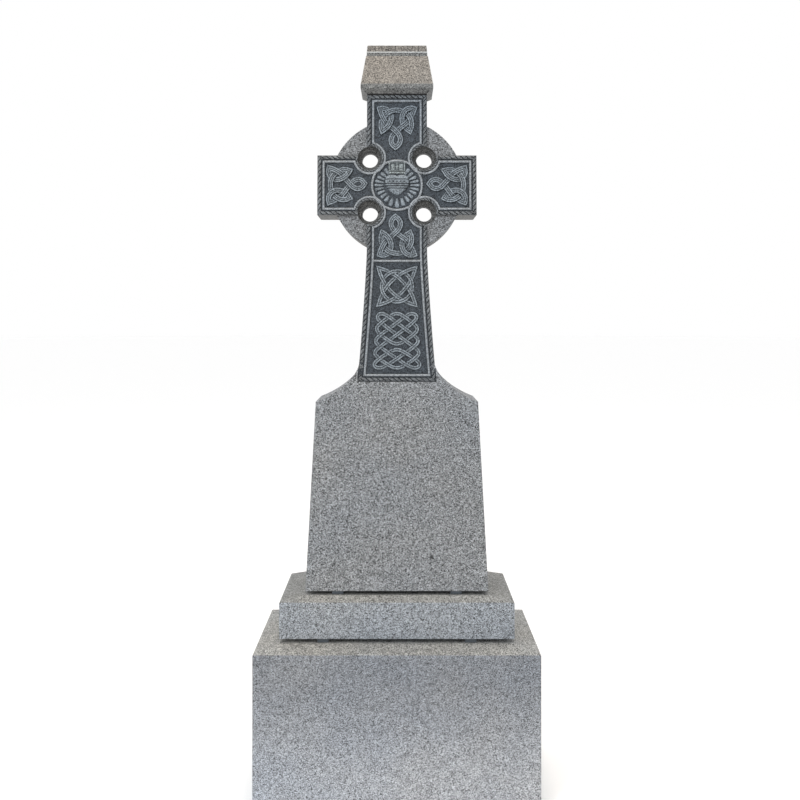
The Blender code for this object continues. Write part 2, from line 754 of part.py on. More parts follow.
def make_cross_stone(material):
    right = right_outline()
    outline = np.concatenate([right, mirrored(right)[::-1]])
    stone = relief_slab("cross_stone", outline)
    half_ring = HALF_HEAD - RING_SETBACK
    ring = turned("ring", [(RING_RADIUS, -half_ring), (RING_RADIUS, half_ring)], (0, CENTRE), 72)
    apply_boolean(stone, ring, 'UNION')
    half_web = WEB_THICKNESS / 2
    reach = HEAD_THICKNESS
    profile = [(HOLLOW_RADIUS, -reach), (HOLLOW_RADIUS, -half_web - HOLLOW_DISH), (EYE_RADIUS, -half_web),
               (EYE_RADIUS, half_web), (HOLLOW_RADIUS, half_web + HOLLOW_DISH), (HOLLOW_RADIUS, reach)]
    for number, centre in enumerate(eye_centres()):
        apply_boolean(stone, turned(f"eye_{number}", profile, centre, 24), 'DIFFERENCE')
    for vertex in stone.data.vertices:
        lean = max(0.0, NECK - vertex.co.z) * BATTER
        vertex.co.y += math.copysign(lean, vertex.co.y)
    apply_boolean(stone, make_cap(), 'UNION')
    stone.data.materials.clear()
    stone.data.materials.append(material)
    return stone


def make_cap():
    """The house-shaped cap, from its corbel inside the neck up to its crest."""
    out = CAP_WIDTH / 2 - HALF_ARM
    forward = CAP_DEPTH / 2 - HALF_HEAD
    inside = 0.35
    eave = NECK + CORBEL_HEIGHT
    roof = eave + FASCIA_HEIGHT
    crest = roof + ROOF_HEIGHT
    levels = [
        (HALF_ARM - inside * out, HALF_HEAD - inside * forward, NECK - inside * CORBEL_HEIGHT),
        (CAP_WIDTH / 2, CAP_DEPTH / 2, eave),
        (CAP_WIDTH / 2, CAP_DEPTH / 2, roof),
        (ROOF_TOP_WIDTH / 2, ROOF_TOP_DEPTH / 2, crest),
        (ROOF_TOP_WIDTH / 2, CREST_DEPTH / 2, crest + CREST_QUIRK),
        (ROOF_TOP_WIDTH / 2 - CREST_TAPER, CREST_DEPTH / 2 - CREST_TAPER / 2, crest + CREST_HEIGHT),
    ]
    return stacked_block("cap", levels)


clear_scene()
base_granite = granite("base_granite", (0.30, 0.31, 0.32), 0.55)
cross_granite = granite("cross_granite", (0.27, 0.28, 0.29), 0.55)
packer_lead = granite("packer_lead", (0.12, 0.12, 0.13), 0.7)

base_stone("lower_base", LOWER_BASE_WIDTH, LOWER_BASE_DEPTH, 0.0, LOWER_BASE_FACE, LOWER_BASE_WASH,
           UPPER_BASE_WIDTH, UPPER_BASE_DEPTH, base_granite)
base_stone("upper_base", UPPER_BASE_WIDTH, UPPER_BASE_DEPTH, UPPER_BASE_FOOT, UPPER_BASE_FACE,
           UPPER_BASE_WASH, DIE_FOOT_WIDTH, 2 * FOOT_HALF_THICKNESS, base_granite)
packers("packer_lower", LOWER_PACKER_SPREAD, UPPER_BASE_DEPTH, LOWER_SEAT, LOWER_JOINT, packer_lead)
packers("packer_upper", UPPER_PACKER_SPREAD, 2 * FOOT_HALF_THICKNESS, UPPER_SEAT, UPPER_JOINT, packer_lead)
make_cross_stone(cross_granite)
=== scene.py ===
import math

import bmesh
import bpy
import numpy as np
from mathutils.geometry import delaunay_2d_cdt
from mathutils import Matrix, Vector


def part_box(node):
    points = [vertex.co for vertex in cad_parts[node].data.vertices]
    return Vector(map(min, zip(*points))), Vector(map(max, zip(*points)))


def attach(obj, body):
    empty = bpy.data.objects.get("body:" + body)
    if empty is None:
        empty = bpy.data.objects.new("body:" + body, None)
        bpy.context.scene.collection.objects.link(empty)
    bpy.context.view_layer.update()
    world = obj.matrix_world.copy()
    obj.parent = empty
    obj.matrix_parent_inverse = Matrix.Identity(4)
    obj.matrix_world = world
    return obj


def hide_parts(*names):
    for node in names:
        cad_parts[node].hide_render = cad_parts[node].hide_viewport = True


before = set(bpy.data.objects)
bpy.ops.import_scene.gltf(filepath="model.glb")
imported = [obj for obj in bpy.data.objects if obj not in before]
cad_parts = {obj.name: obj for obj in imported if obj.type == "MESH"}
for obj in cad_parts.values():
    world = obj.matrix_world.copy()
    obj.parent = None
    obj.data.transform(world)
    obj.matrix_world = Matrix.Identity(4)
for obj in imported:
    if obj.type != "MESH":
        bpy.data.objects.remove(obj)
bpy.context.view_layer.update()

# The view
# A level camera at head height, straight in front of the carved face. The picture's frame
# is lowered, so the stone stands upright in it with no leaning edges.
PHOTO_SIDE = 800
FOCAL_LENGTH_PIXELS = 822
HORIZON_ROW = 315
SENSOR_WIDTH = 36.0
EYE_POINT = (0.010, -2.756, 1.543)


def in_scene(name, data):
    item = bpy.data.objects.new(name, data)
    bpy.context.scene.collection.objects.link(item)
    return item


camera_data = bpy.data.cameras.new("camera")
camera_data.sensor_width = SENSOR_WIDTH
camera_data.lens = SENSOR_WIDTH * FOCAL_LENGTH_PIXELS / PHOTO_SIDE
camera_data.shift_y = (HORIZON_ROW - PHOTO_SIDE / 2) / PHOTO_SIDE
camera = in_scene("camera", camera_data)
camera.location = EYE_POINT
camera.rotation_euler = (math.radians(90), 0, 0)
bpy.context.scene.camera = camera

# The light
# An even white sky all round, a large soft lamp in front on the left, and a warmer one
# overhead for the sloping tops of the stones.
bpy.context.scene.view_settings.view_transform = 'Standard'
sky = bpy.data.worlds.new("sky")
sky.use_nodes = True
sky.node_tree.nodes["Background"].inputs["Color"].default_value = (1, 1, 1, 1)
sky.node_tree.nodes["Background"].inputs["Strength"].default_value = 1.0
bpy.context.scene.world = sky


def soft_lamp(name, place, target, width, power, colour):
    data = bpy.data.lights.new(name, 'AREA')
    data.shape = 'DISK'
    data.size = width
    data.energy = power
    data.color = colour
    lamp = in_scene(name, data)
    lamp.location = place
    aim = np.array(target, float) - np.array(place, float)
    lamp.rotation_euler = (math.atan2(math.hypot(aim[0], aim[1]), -aim[2]), 0, math.atan2(-aim[0], aim[1]))


soft_lamp("front_lamp", place=(-2.6, -3.4, 4.2), target=(0, 0, 1.4), width=1.6, power=80,
          colour=(0.97, 0.99, 1.0))
soft_lamp("top_lamp", place=(0.2, -0.35, 5.2), target=(0, 0, 1.0), width=1.5, power=75,
          colour=(1.0, 0.88, 0.74))

# The floor
# A plain pale studio floor, wide enough to reach the sky line from any side. It is no part
# of the monument, which only stands on it.
FLOOR_RADIUS = 60.0
FLOOR_SIDES = 96


def new_material(name):
    material = bpy.data.materials.new(name)
    material.use_nodes = True
    return material


def wire(material, node, inputs):
    """Sets a node's inputs, each to a value or to another node's output."""
    for socket, value in inputs.items():
        if isinstance(value, bpy.types.NodeSocket):
            material.node_tree.links.new(value, node.inputs[socket])
        else:
            node.inputs[socket].default_value = value
    return node


def give_surface(material, inputs):
    wire(material, material.node_tree.nodes["Principled BSDF"], inputs)


floor_mesh = bpy.data.meshes.new("floor")
floor_angles = [2 * math.pi * i / FLOOR_SIDES for i in range(FLOOR_SIDES)]
floor_rim = [(FLOOR_RADIUS * math.cos(a), FLOOR_RADIUS * math.sin(a), 0) for a in floor_angles]
floor_mesh.from_pydata(floor_rim, [], [tuple(range(FLOOR_SIDES))])
floor_material = new_material("pale_floor")
give_surface(floor_material, {"Base Color": (0.99, 0.99, 0.99, 1), "Roughness": 0.8})
floor_mesh.materials.append(floor_material)
floor = in_scene("floor", floor_mesh)

# The two base stones
# Sawn and axed blocks of grey granite, set one on the other. Each top is weathered: it
# slopes from the seat of the stone above down to its outer arris, so that rain runs off.
UPPER_WASH = 0.018
LOWER_WASH = 0.017
ARRIS_EASE = 0.0028
EASE_ANGLE = 25
CRYSTAL = 0.0023
CRYSTAL_TONES = ((0.0, 0.14), (0.17, 0.40), (0.30, 0.86), (0.60, 1.08), (0.82, 1.45), (1.0, 2.05))
FELDSPAR = 0.0041
FELDSPAR_TONE = 1.75
MICA = 0.0033
MICA_TONE = 0.08
FLAW_TONE = 0.22
PITTING = 0.0008
COOL = (0.92, 0.95, 0.98, 1.0)
WARM = (1.07, 1.05, 1.01, 1.0)
CLOUDS = ((0.0009, 0.86, 1.14), (0.024, 0.91, 1.08), (0.34, COOL, WARM))


def add_node(material, kind, inputs, **settings):
    node = material.node_tree.nodes.new(kind)
    for setting, value in settings.items():
        setattr(node, setting, value)
    return wire(material, node, inputs)


def ramped(material, source, stops):
    """A colour that runs with the source through stops of (place, colour or grey)."""
    node = add_node(material, "ShaderNodeValToRGB", {"Fac": source})
    elements = node.color_ramp.elements
    while len(elements) < len(stops):
        elements.new(1.0)
    for element, (place, value) in zip(elements, stops):
        element.position = place
        element.color = value if isinstance(value, tuple) else (value, value, value, 1.0)
    return node.outputs["Color"]


def granite(name, tone, tint, contrast=1.0, shine=0.5, relief=0.25, height_gain=None, flaws=()):
    """A granite finish: tone is its mean brightness and contrast the spread of its grains.

    shine is how strongly its face gives back the light, and relief how rough it is left.
    height_gain brightens it from one height to another: (low, high, gain_low, gain_high).
    Each flaw is a dark inclusion: the three measures of its place, and its size.
    """
    material = new_material(name)

    def add(kind, inputs, **settings):
        return add_node(material, kind, inputs, **settings)

    def noise(size, detail):
        return add("ShaderNodeTexNoise", {"Vector": place, "Scale": 1 / size, "Detail": detail})

    def cells(size):
        grains = add("ShaderNodeTexVoronoi", {"Vector": uneven, "Scale": 1 / size})
        parts = add("ShaderNodeSeparateColor", {"Color": grains.outputs["Color"]})
        return grains.outputs["Distance"], parts.outputs["Red"], parts.outputs["Green"]

    def mapped(source, low, high, to_low, to_high):
        inputs = {"Value": source, "From Min": low, "From Max": high, "To Min": to_low, "To Max": to_high}
        return add("ShaderNodeMapRange", inputs, interpolation_type='SMOOTHSTEP').outputs[0]

    def product(first, second):
        return add("ShaderNodeMath", {0: first, 1: second}, operation='MULTIPLY').outputs[0]

    def mix(kind, share, first, second):
        inputs = {0: share, 6: first, 7: second}
        return add("ShaderNodeMix", inputs, data_type='RGBA', blend_type=kind).outputs[2]

    def shade(share):
        value = max(0.0, tone * (1 + contrast * (share - 1)))
        return (*(value * channel for channel in tint), 1.0)

    place = add("ShaderNodeTexCoord", {}).outputs["Object"]
    waver = noise(1.4 * CRYSTAL, 2).outputs["Color"]
    uneven = add("ShaderNodeVectorMath", {0: waver, 1: (0.8 * CRYSTAL,) * 3, 2: place},
                 operation='MULTIPLY_ADD').outputs[0]
    _, crystal_tone, crystal_gloss = cells(CRYSTAL)
    colour = ramped(material, crystal_tone, [(stop, shade(share)) for stop, share in CRYSTAL_TONES])
    spread, feldspar_tone, _ = cells(FELDSPAR)
    pale = product(mapped(spread, 0.25, 0.50, 1.0, 0.0), mapped(feldspar_tone, 0.68, 0.84, 0.0, 0.75))
    colour = mix('MIX', pale, colour, shade(FELDSPAR_TONE))
    spread, mica_tone, _ = cells(MICA)
    dark = product(mapped(spread, 0.22, 0.40, 1.0, 0.0), mapped(mica_tone, 0.22, 0.34, 0.90, 0.0))
    colour = mix('MIX', dark, colour, shade(MICA_TONE))
    for size, low, high in CLOUDS:
        cloud = ramped(material, noise(size, 3).outputs["Fac"], [(0.30, low), (0.70, high)])
        colour = mix('MULTIPLY', 1.0, colour, cloud)
    if height_gain:
        height = add("ShaderNodeSeparateXYZ", {"Vector": place}).outputs["Z"]
        colour = mix('MULTIPLY', 1.0, colour, mapped(height, *height_gain))
    for *spot, size in flaws:
        gap = add("ShaderNodeVectorMath", {0: uneven, 1: spot}, operation='DISTANCE').outputs["Value"]
        inside = mapped(gap, 0.7 * size, 1.2 * size, 0.85, 0.0)
        colour = mix('MIX', inside, colour, shade(FLAW_TONE))
    pits = noise(0.8 * CRYSTAL, 4).outputs["Fac"]
    bumps = add("ShaderNodeBump", {"Strength": relief, "Distance": PITTING, "Height": pits})
    give_surface(material, {"Base Color": colour, "Specular IOR Level": shine,
                            "Roughness": mapped(crystal_gloss, 0.0, 1.0, 0.48, 0.74),
                            "Normal": bumps.outputs["Normal"]})
    return material


def skin(rings, looped=False):
    """A closed skin over rings of corners: points, faces, and the corner each face starts from.

    The two end faces have -1 there. A looped skin has none: its last ring meets its first.
    """
    rows = len(rings)
    count = len(rings[0])
    points = [tuple(corner) for ring in rings for corner in ring]
    faces = []
    strips = []
    for row in range(rows if looped else rows - 1):
        low = row * count
        high = (row + 1) % rows * count
        for j in range(count):
            faces.append((low + j, low + (j + 1) % count, high + (j + 1) % count, high + j))
            strips.append(j)
    if not looped:
        faces += [tuple(reversed(range(count))), tuple(range((rows - 1) * count, rows * count))]
        strips += [-1, -1]
    return points, faces, strips


def face_outward(mesh, weld=0.0):
    """Turns all faces outward. With a weld, it first joins close points and fills gaps."""
    editable = bmesh.new()
    editable.from_mesh(mesh)
    if weld:
        bmesh.ops.remove_doubles(editable, verts=editable.verts, dist=weld)
        bmesh.ops.holes_fill(editable, edges=[edge for edge in editable.edges if edge.is_boundary])
    bmesh.ops.recalc_face_normals(editable, faces=editable.faces)
    editable.to_mesh(mesh)
    editable.free()


def stone_piece(name, shape, materials, crease=32):
    """A piece of the monument, from its points, its faces and each face's material number."""
    points, faces, numbers = shape
    mesh = bpy.data.meshes.new(name)
    mesh.from_pydata(points, [], faces)
    for material in materials:
        mesh.materials.append(material)
    mesh.polygons.foreach_set("material_index", numbers)
    face_outward(mesh)
    mesh.shade_smooth()
    mesh.set_sharp_from_angle(angle=math.radians(crease))
    piece = in_scene(name, mesh)
    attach(piece, "root")
    return piece


def stacked_block(levels):
    """A block through levels of (half width, half depth, height, material number above it)."""
    corners = ((-1, -1), (1, -1), (1, 1), (-1, 1))
    rings = [[(sx * x, sy * y, z) for sx, sy in corners] for x, y, z, _ in levels]
    points, faces, _ = skin(rings)
    return points, faces, [levels[min(face) // len(corners)][3] for face in faces]


def base_stone(name, node, above, wash, finishes):
    """A block whose top slopes from the seat of the stone above, with its arrises rubbed off."""
    low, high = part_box(node)
    _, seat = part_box(above)
    levels = [(high[0], high[1], low[2], 0), (high[0], high[1], high[2] - wash, 1),
              (seat[0], seat[1], high[2], 1)]
    piece = stone_piece(name, stacked_block(levels), finishes)
    bevel = piece.modifiers.new("eased_arris", 'BEVEL')
    bevel.width = ARRIS_EASE
    bevel.segments = 3
    bevel.limit_method = 'ANGLE'
    bevel.angle_limit = math.radians(EASE_ANGLE)
    bevel.harden_normals = True
    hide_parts(node)


base_finish = granite("axed_base", 0.232, (0.93, 1.0, 1.09), contrast=1.2)
# The lower base's colour is made lighter towards its foot by the height gain.
foot_finish = granite("axed_lower_base", 0.186, (0.95, 1.0, 1.09), height_gain=(0.0, 0.46, 1.75, 1.0))
# The sloping tops have finishes of their own, warmer than the stones' fronts: painted warm light from
# above. The lower top is painted lighter still, against the shade the stones above cast on it.
lit_wash_finish = granite("warm_lit_wash", 0.199, (0.99, 1.0, 0.98), contrast=1.1)
lit_low_wash_finish = granite("warm_lit_low_wash", 0.270, (1.01, 1.0, 0.96), contrast=1.1)
base_stone("weathered_lower_base", "lower_base", "upper_base", LOWER_WASH, [foot_finish, lit_low_wash_finish])
base_stone("weathered_upper_base", "upper_base", "cross_stone", UPPER_WASH, [base_finish, lit_wash_finish])

# The setting packers
# Small lead blocks that carry each stone clear of the one below. They stay in the joint,
# and the lead has gone dull and dark at its face.
LEAD_MOTTLE = 1 / 160

lead = new_material("dull_lead")
mottle = add_node(lead, "ShaderNodeTexNoise", {"Scale": 1 / LEAD_MOTTLE}).outputs["Fac"]
lead_colour = ramped(lead, mottle, [(0.35, (0.045, 0.055, 0.065, 1.0)), (0.65, (0.10, 0.115, 0.13, 1.0))])
give_surface(lead, {"Metallic": 0.25, "Roughness": 0.6, "Base Color": lead_colour})
for node_name, node_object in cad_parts.items():
    if node_name.startswith("packer"):
        node_object.material_slots[0].material = lead

# The cross stone's plain shape
# Die, shaft, ringed head and cap are one block of granite, sawn to a taper from foot to
# cap on front and back. Its front is sunk where the carving goes.
ARM_WIDTH = 0.197
ARM_SPAN = 0.522
DIE_SHOULDER_WIDTH = 0.525
DIE_HEIGHT = 0.603
SHOULDER_RISE = 0.123
SHOULDER_PULL = (0.45, 0.19)
SHAFT_PULL = (0.07, 0.41)
SHAFT_FOOT_WIDTH = 0.245
SHAFT_HEIGHT = 0.365
SHAFT_CURVE = 1.25
LOWER_ARM_LENGTH = 0.218
UPPER_ARM_LENGTH = 0.300
HEAD_THICKNESS = 0.105
BATTER = 0.0467
RING_RADIUS = 0.2205
RING_SETBACK = 0.015
RING_EASE = 0.002
HOLLOW_RADIUS = 0.0390
HOLLOW_SHIFT = 0.0088
HOLLOW_WALL = 0.0090
HOLLOW_DISH = ((0.0320, 0.0014), (0.0362, 0.0040))
HOLLOW_REACH = 0.10
EYE_RADIUS = 0.0265
EYE_EASE = (0.0012, 0.0020)
WEB_THICKNESS = 0.034
BEAD_INSET = 0.0205
EYE_BEAD_RADIUS = 0.0507
FRAME_FOOT = 0.058
BED_SINK = 0.0060
FIELD_SINK = 0.0080
FIELD_STEP = 0.0010
ARRIS = 0.0016
NECK_TENON = 0.009
FACE_STOP = 0.012
OVERHANG = 0.6
SHARPEST_MITRE = 0.42
WELD = 0.000002
BED_SPREAD = 0.0021
FIELD_SPREAD = 0.0004
HOLLOW_SPREAD = 0.0002
DIE_FLAWS = ((0.1129, -0.1225, 0.769, 0.0062), (-0.0603, -0.1125, 0.983, 0.0030))

stone_low, stone_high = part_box("cross_stone")
DIE_FOOT = stone_low[2]
DIE_FOOT_WIDTH = stone_high[0] - stone_low[0]
SHOULDER = DIE_FOOT + DIE_HEIGHT
SHAFT_FOOT = SHOULDER + SHOULDER_RISE
SHAFT_TOP = SHAFT_FOOT + SHAFT_HEIGHT
CENTRE = SHAFT_TOP + LOWER_ARM_LENGTH
NECK = CENTRE + UPPER_ARM_LENGTH
HALF_ARM = ARM_WIDTH / 2
HALF_HEAD = HEAD_THICKNESS / 2
HOLLOW_OFFSET = HALF_ARM - HOLLOW_SHIFT
FRAME_BOTTOM = SHAFT_FOOT - FRAME_FOOT


def lean(z):
    """How much thicker the stone is on each side at this height than at its neck."""
    return np.maximum(0.0, NECK - z) * BATTER


def on_front(flat, depth):
    """Points of the leaning front, from (x, z) in its plane and depths into the stone."""
    flat = np.asarray(flat, float)
    y = depth - HALF_HEAD - lean(flat[..., 1])
    return np.stack([flat[..., 0], y, flat[..., 1]], axis=-1)


def shaft_half_width(z):
    drop = np.clip((SHAFT_TOP - z) / SHAFT_HEIGHT, 0, None)
    return HALF_ARM + (SHAFT_FOOT_WIDTH / 2 - HALF_ARM) * drop ** SHAFT_CURVE


def cubic(p0, p1, p2, p3, steps):
    t = np.linspace(0, 1, steps + 1)[1:, None]
    p0, p1, p2, p3 = (np.array(p, float) for p in (p0, p1, p2, p3))
    return (1 - t) ** 3 * p0 + 3 * (1 - t) ** 2 * t * p1 + 3 * (1 - t) * t ** 2 * p2 + t ** 3 * p3


def arc(centre, radius, start, sweep, steps):
    angles = start + sweep * np.arange(steps + 1) / steps
    return np.stack([centre[0] + radius * np.cos(angles), centre[1] + radius * np.sin(angles)], axis=1)


def offset_vectors(path, closed):
    """The step that moves each point of a path one unit to its left, mitred at corners."""
    ahead = np.roll(path, -1, axis=0) - path
    if not closed:
        ahead[-1] = ahead[-2]
    ahead /= np.linalg.norm(ahead, axis=1)[:, None]
    behind = np.roll(ahead, 1, axis=0)
    if not closed:
        behind[0] = ahead[0]
    normal = np.stack([-ahead[:, 1] - behind[:, 1], ahead[:, 0] + behind[:, 0]], axis=1)
    normal /= np.maximum(np.linalg.norm(normal, axis=1)[:, None], 1e-9)
    left = np.stack([-ahead[:, 1], ahead[:, 0]], axis=1)
    return normal / np.maximum(np.sum(normal * left, axis=1), SHARPEST_MITRE)[:, None]


def die_side():
    """The right edge of the die, from its foot up round the shoulder to the shaft."""
    foot = (DIE_FOOT_WIDTH / 2, DIE_FOOT)
    shoulder = (DIE_SHOULDER_WIDTH / 2, SHOULDER)
    shaft = (SHAFT_FOOT_WIDTH / 2, SHAFT_FOOT)
    run = shoulder[0] - shaft[0]
    first_pull = (shoulder[0] - SHOULDER_PULL[0] * run, SHOULDER + SHOULDER_PULL[1] * SHOULDER_RISE)
    last_pull = (shaft[0] + SHAFT_PULL[0] * run, SHAFT_FOOT - SHAFT_PULL[1] * SHOULDER_RISE)
    curve = cubic(shoulder, first_pull, last_pull, shaft, 28)
    return np.array([foot, shoulder, *curve])


def mirrored(points):
    return np.array([(-x, z) for x, z in points])[::-1]


def stone_outline():
    """The outline as one loop, and the depth of its front edge at each point."""
    side = die_side()
    shaft = [(float(shaft_half_width(z)), z) for z in np.linspace(SHAFT_FOOT, SHAFT_TOP, 16)[1:]]
    head = [(HALF_ARM, CENTRE - HALF_ARM), (ARM_SPAN / 2, CENTRE - HALF_ARM),
            (ARM_SPAN / 2, CENTRE + HALF_ARM), (HALF_ARM, CENTRE + HALF_ARM), (HALF_ARM, NECK + NECK_TENON)]
    right = np.array([*side, *shaft, *head])
    outline = np.concatenate([right, mirrored(right)])
    plain = np.arange(len(right)) < len(side)
    depths = np.where(np.concatenate([plain, plain[::-1]]), ARRIS, BED_SINK)
    return outline, depths


def field_edges():
    """The edge of each arm's field, from one hollow round the arm to the next.

    The arms come in the order right, upper, left, lower. Each edge goes anticlockwise, so the
    stone's middle is on its left, and the arm's two corners are in the middle of its points.
    """
    middle = np.array([0.0, CENTRE])
    right = np.array([(HOLLOW_OFFSET, -HALF_ARM), (ARM_SPAN / 2, -HALF_ARM),
                      (ARM_SPAN / 2, HALF_ARM), (HOLLOW_OFFSET, HALF_ARM)])
    upper = np.array([(HALF_ARM, HOLLOW_OFFSET), (HALF_ARM, UPPER_ARM_LENGTH),
                      (-HALF_ARM, UPPER_ARM_LENGTH), (-HALF_ARM, HOLLOW_OFFSET)])
    side = [(float(shaft_half_width(z)), z) for z in np.linspace(FRAME_BOTTOM, SHAFT_TOP, 19)]
    side.append((HALF_ARM, CENTRE - HOLLOW_OFFSET))
    return [middle + right, middle + upper, middle - right, np.concatenate([mirrored(side), side])]


def eye_place(quarter):
    """The direction and the middle of a hollow, by quarter turns from the upper right one."""
    facing = math.pi / 4 + quarter * math.pi / 2
    away = HOLLOW_OFFSET * math.sqrt(2)
    return facing, (away * math.cos(facing), CENTRE + away * math.sin(facing))


def inset_runs(inset, eye_radius):
    """The runs of a moulding that keeps this far inside the edge and rounds the hollows.

    Each arm has three runs, and after them comes the arc round the next hollow.
    """
    cut = HOLLOW_OFFSET - HALF_ARM + inset
    meet = math.sqrt(eye_radius ** 2 - cut ** 2)
    sweep = 1.5 * math.pi - 2 * math.asin(cut / eye_radius)
    runs = []
    for quarter, edge in enumerate(field_edges()):
        loop = edge + inset * offset_vectors(edge, False)
        axis = quarter % 2
        out = 1 if quarter < 2 else -1
        loop[[0, -1], axis] = (0.0, CENTRE)[axis] + out * (HOLLOW_OFFSET + meet)
        corner = len(loop) // 2
        runs += [loop[:corner], loop[corner - 1:corner + 1], loop[corner:]]
        facing, eye = eye_place(quarter)
        runs.append(arc(eye, eye_radius, facing + math.pi + sweep / 2, -sweep, 56))
    return runs


def joined(runs):
    return np.concatenate([run[:-1] for run in runs])


def closed_behind(corners, faces, back):
    """A front sheet with straight sides that run back to y = back(z), and a face behind."""
    mesh = bmesh.new()
    front = [mesh.verts.new(corner) for corner in corners]
    for face in faces:
        mesh.faces.new([front[i] for i in face])
    rim = [edge for edge in mesh.edges if edge.is_boundary]
    grown = bmesh.ops.extrude_edge_only(mesh, edges=rim)["geom"]
    for element in grown:
        if isinstance(element, bmesh.types.BMVert):
            element.co.y = back(element.co.z)
    behind = [e for e in grown if isinstance(e, bmesh.types.BMEdge) and e.is_boundary]
    bmesh.ops.contextual_create(mesh, geom=behind)
    return mesh


def carved_slab():
    """Mesh data of the slab: sunk bed and field in front, flat back, still without batter."""
    outline, depths = stone_outline()
    edge = die_side()
    corner = np.array([float(shaft_half_width(FRAME_BOTTOM)), FRAME_BOTTOM])
    plain = edge + ARRIS * offset_vectors(edge, False)
    plain[0] += (0.0, ARRIS)
    plain = np.array([p for p in plain if p[1] < SHAFT_FOOT - FACE_STOP])
    right = [*plain, corner + (FIELD_STEP, -FIELD_STEP)]
    bead = joined(inset_runs(BEAD_INSET, EYE_BEAD_RADIUS))
    side = offset_vectors(bead, True)
    loops = [(outline, depths), (np.concatenate([right, mirrored(right)]), 0.0),
             (bead - FIELD_STEP * side, BED_SINK), (bead + FIELD_STEP * side, FIELD_SINK)]
    points = []
    known = []
    edges = []
    for loop, depth in loops:
        first = len(points)
        points += [tuple(p) for p in loop]
        known += list(np.broadcast_to(depth, (len(loop),)))
        edges += [(first + i, first + (i + 1) % len(loop)) for i in range(len(loop))]
    edges.append((len(points), len(points) + 1))
    points += [tuple(corner), tuple(corner * (-1, 1))]
    known += [BED_SINK, BED_SINK]
    outer = tuple(range(len(outline)))
    flat, _, faces, sources, _, _ = delaunay_2d_cdt(points, edges, [outer], 1, 1e-6)
    sunk = [min(known[o] for o in origin) if origin else BED_SINK for origin in sources]
    corners = [(x, depth - HALF_HEAD, z) for (x, z), depth in zip(flat, sunk)]
    mesh = closed_behind(corners, faces, lambda z: HALF_HEAD)
    data = bpy.data.meshes.new("cross_stone_body")
    mesh.to_mesh(data)
    mesh.free()
    face_outward(data)
    return data


def turned(name, profile, centre, count):
    """A solid turned about a line along Y, through points (radius, y) from front to back."""
    full = 2 * math.pi * (count - 1) / count
    rings = [[(x, y, z) for x, z in arc(centre, radius, 0, full, count - 1)] for radius, y in profile]
    points, faces, _ = skin(rings)
    mesh = bpy.data.meshes.new(name)
    mesh.from_pydata(points, [], faces)
    face_outward(mesh)
    return in_scene(name, mesh)


def apply_boolean(target, tool, operation):
    modifier = target.modifiers.new(operation.lower(), 'BOOLEAN')
    modifier.operation = operation
    modifier.solver = 'EXACT'
    modifier.object = tool
    bpy.context.view_layer.update()
    evaluated = target.evaluated_get(bpy.context.evaluated_depsgraph_get())
    mesh = bpy.data.meshes.new_from_object(evaluated)
    target.modifiers.clear()
    target.data = mesh
    bpy.data.objects.remove(tool, do_unlink=True)


def eye_centres():
    return [(sx * HOLLOW_OFFSET, CENTRE + sz * HOLLOW_OFFSET) for sx in (-1, 1) for sz in (-1, 1)]


CARVED_TINT = (0.87, 1.0, 1.13)
SHADED_TINT = (0.84, 1.0, 1.20)
stone_finish = granite("axed_cross_stone", 0.175, (0.955, 1.0, 1.06), contrast=1.5,
                       height_gain=(1.30, 1.75, 1.0, 0.82), flaws=DIE_FLAWS)
bed_finish = granite("grey_bed", 0.034, SHADED_TINT, contrast=0.7, shine=0.25, relief=0.4)
field_finish = granite("dark_carved_field", 0.051, SHADED_TINT, contrast=1.0, shine=0.25, relief=0.6)
# A dark finish for the undersides and the insides of the hollows: painted shade.
soffit_shade_finish = granite("painted_soffit_shade", 0.088, (0.99, 1.0, 0.99), contrast=1.3)

body = in_scene("cross_stone_body", carved_slab())
half_ring = HALF_HEAD - RING_SETBACK
ring_profile = [(RING_RADIUS - RING_EASE, -half_ring), (RING_RADIUS, RING_EASE - half_ring),
                (RING_RADIUS, half_ring - RING_EASE), (RING_RADIUS - RING_EASE, half_ring)]
apply_boolean(body, turned("ring", ring_profile, (0, CENTRE), 128), 'UNION')
half_web = WEB_THICKNESS / 2
hollow_half = [(EYE_RADIUS, half_web - EYE_EASE[1]), (EYE_RADIUS + EYE_EASE[0], half_web),
               *((radius, half_web + rise) for radius, rise in HOLLOW_DISH),
               (HOLLOW_RADIUS, half_web + HOLLOW_WALL), (HOLLOW_RADIUS, HOLLOW_REACH)]
hollow_profile = [(r, -y) for r, y in reversed(hollow_half)] + hollow_half
for eye_number, eye_centre in enumerate(eye_centres()):
    apply_boolean(body, turned(f"eye_{eye_number}", hollow_profile, eye_centre, 64), 'DIFFERENCE')
face_outward(body.data, WELD)


def body_finish(polygon):
    """The number of a face's finish, in the order of body_finishes."""
    x, y, z = polygon.center
    depth = y + HALF_HEAD
    from_eye = min(math.hypot(x - ex, z - ez) for ex, ez in eye_centres())
    # Faces inside the hollows, and faces that look down above the shoulder, take painted shade (finish 3).
    in_hollow = from_eye < HOLLOW_RADIUS + HOLLOW_SPREAD and depth > BED_SINK + FIELD_STEP
    overhead = polygon.normal.z < -OVERHANG and z > SHOULDER
    if overhead or in_hollow:
        return 3
    if abs(depth - FIELD_SINK) < FIELD_SPREAD:
        return 2
    return 1 if abs(depth - BED_SINK) < BED_SPREAD else 0


body_finishes = [stone_finish, bed_finish, field_finish, soffit_shade_finish]
body.data.materials.clear()
for finish in body_finishes:
    body.data.materials.append(finish)
body.data.polygons.foreach_set("material_index", [body_finish(face) for face in body.data.polygons])
for vertex in body.data.vertices:
    vertex.co.y += math.copysign(float(lean(vertex.co.z)), vertex.co.y)
body.data.shade_smooth()
body.data.set_sharp_from_angle(angle=math.radians(32))
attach(body, "root")
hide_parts("cross_stone")

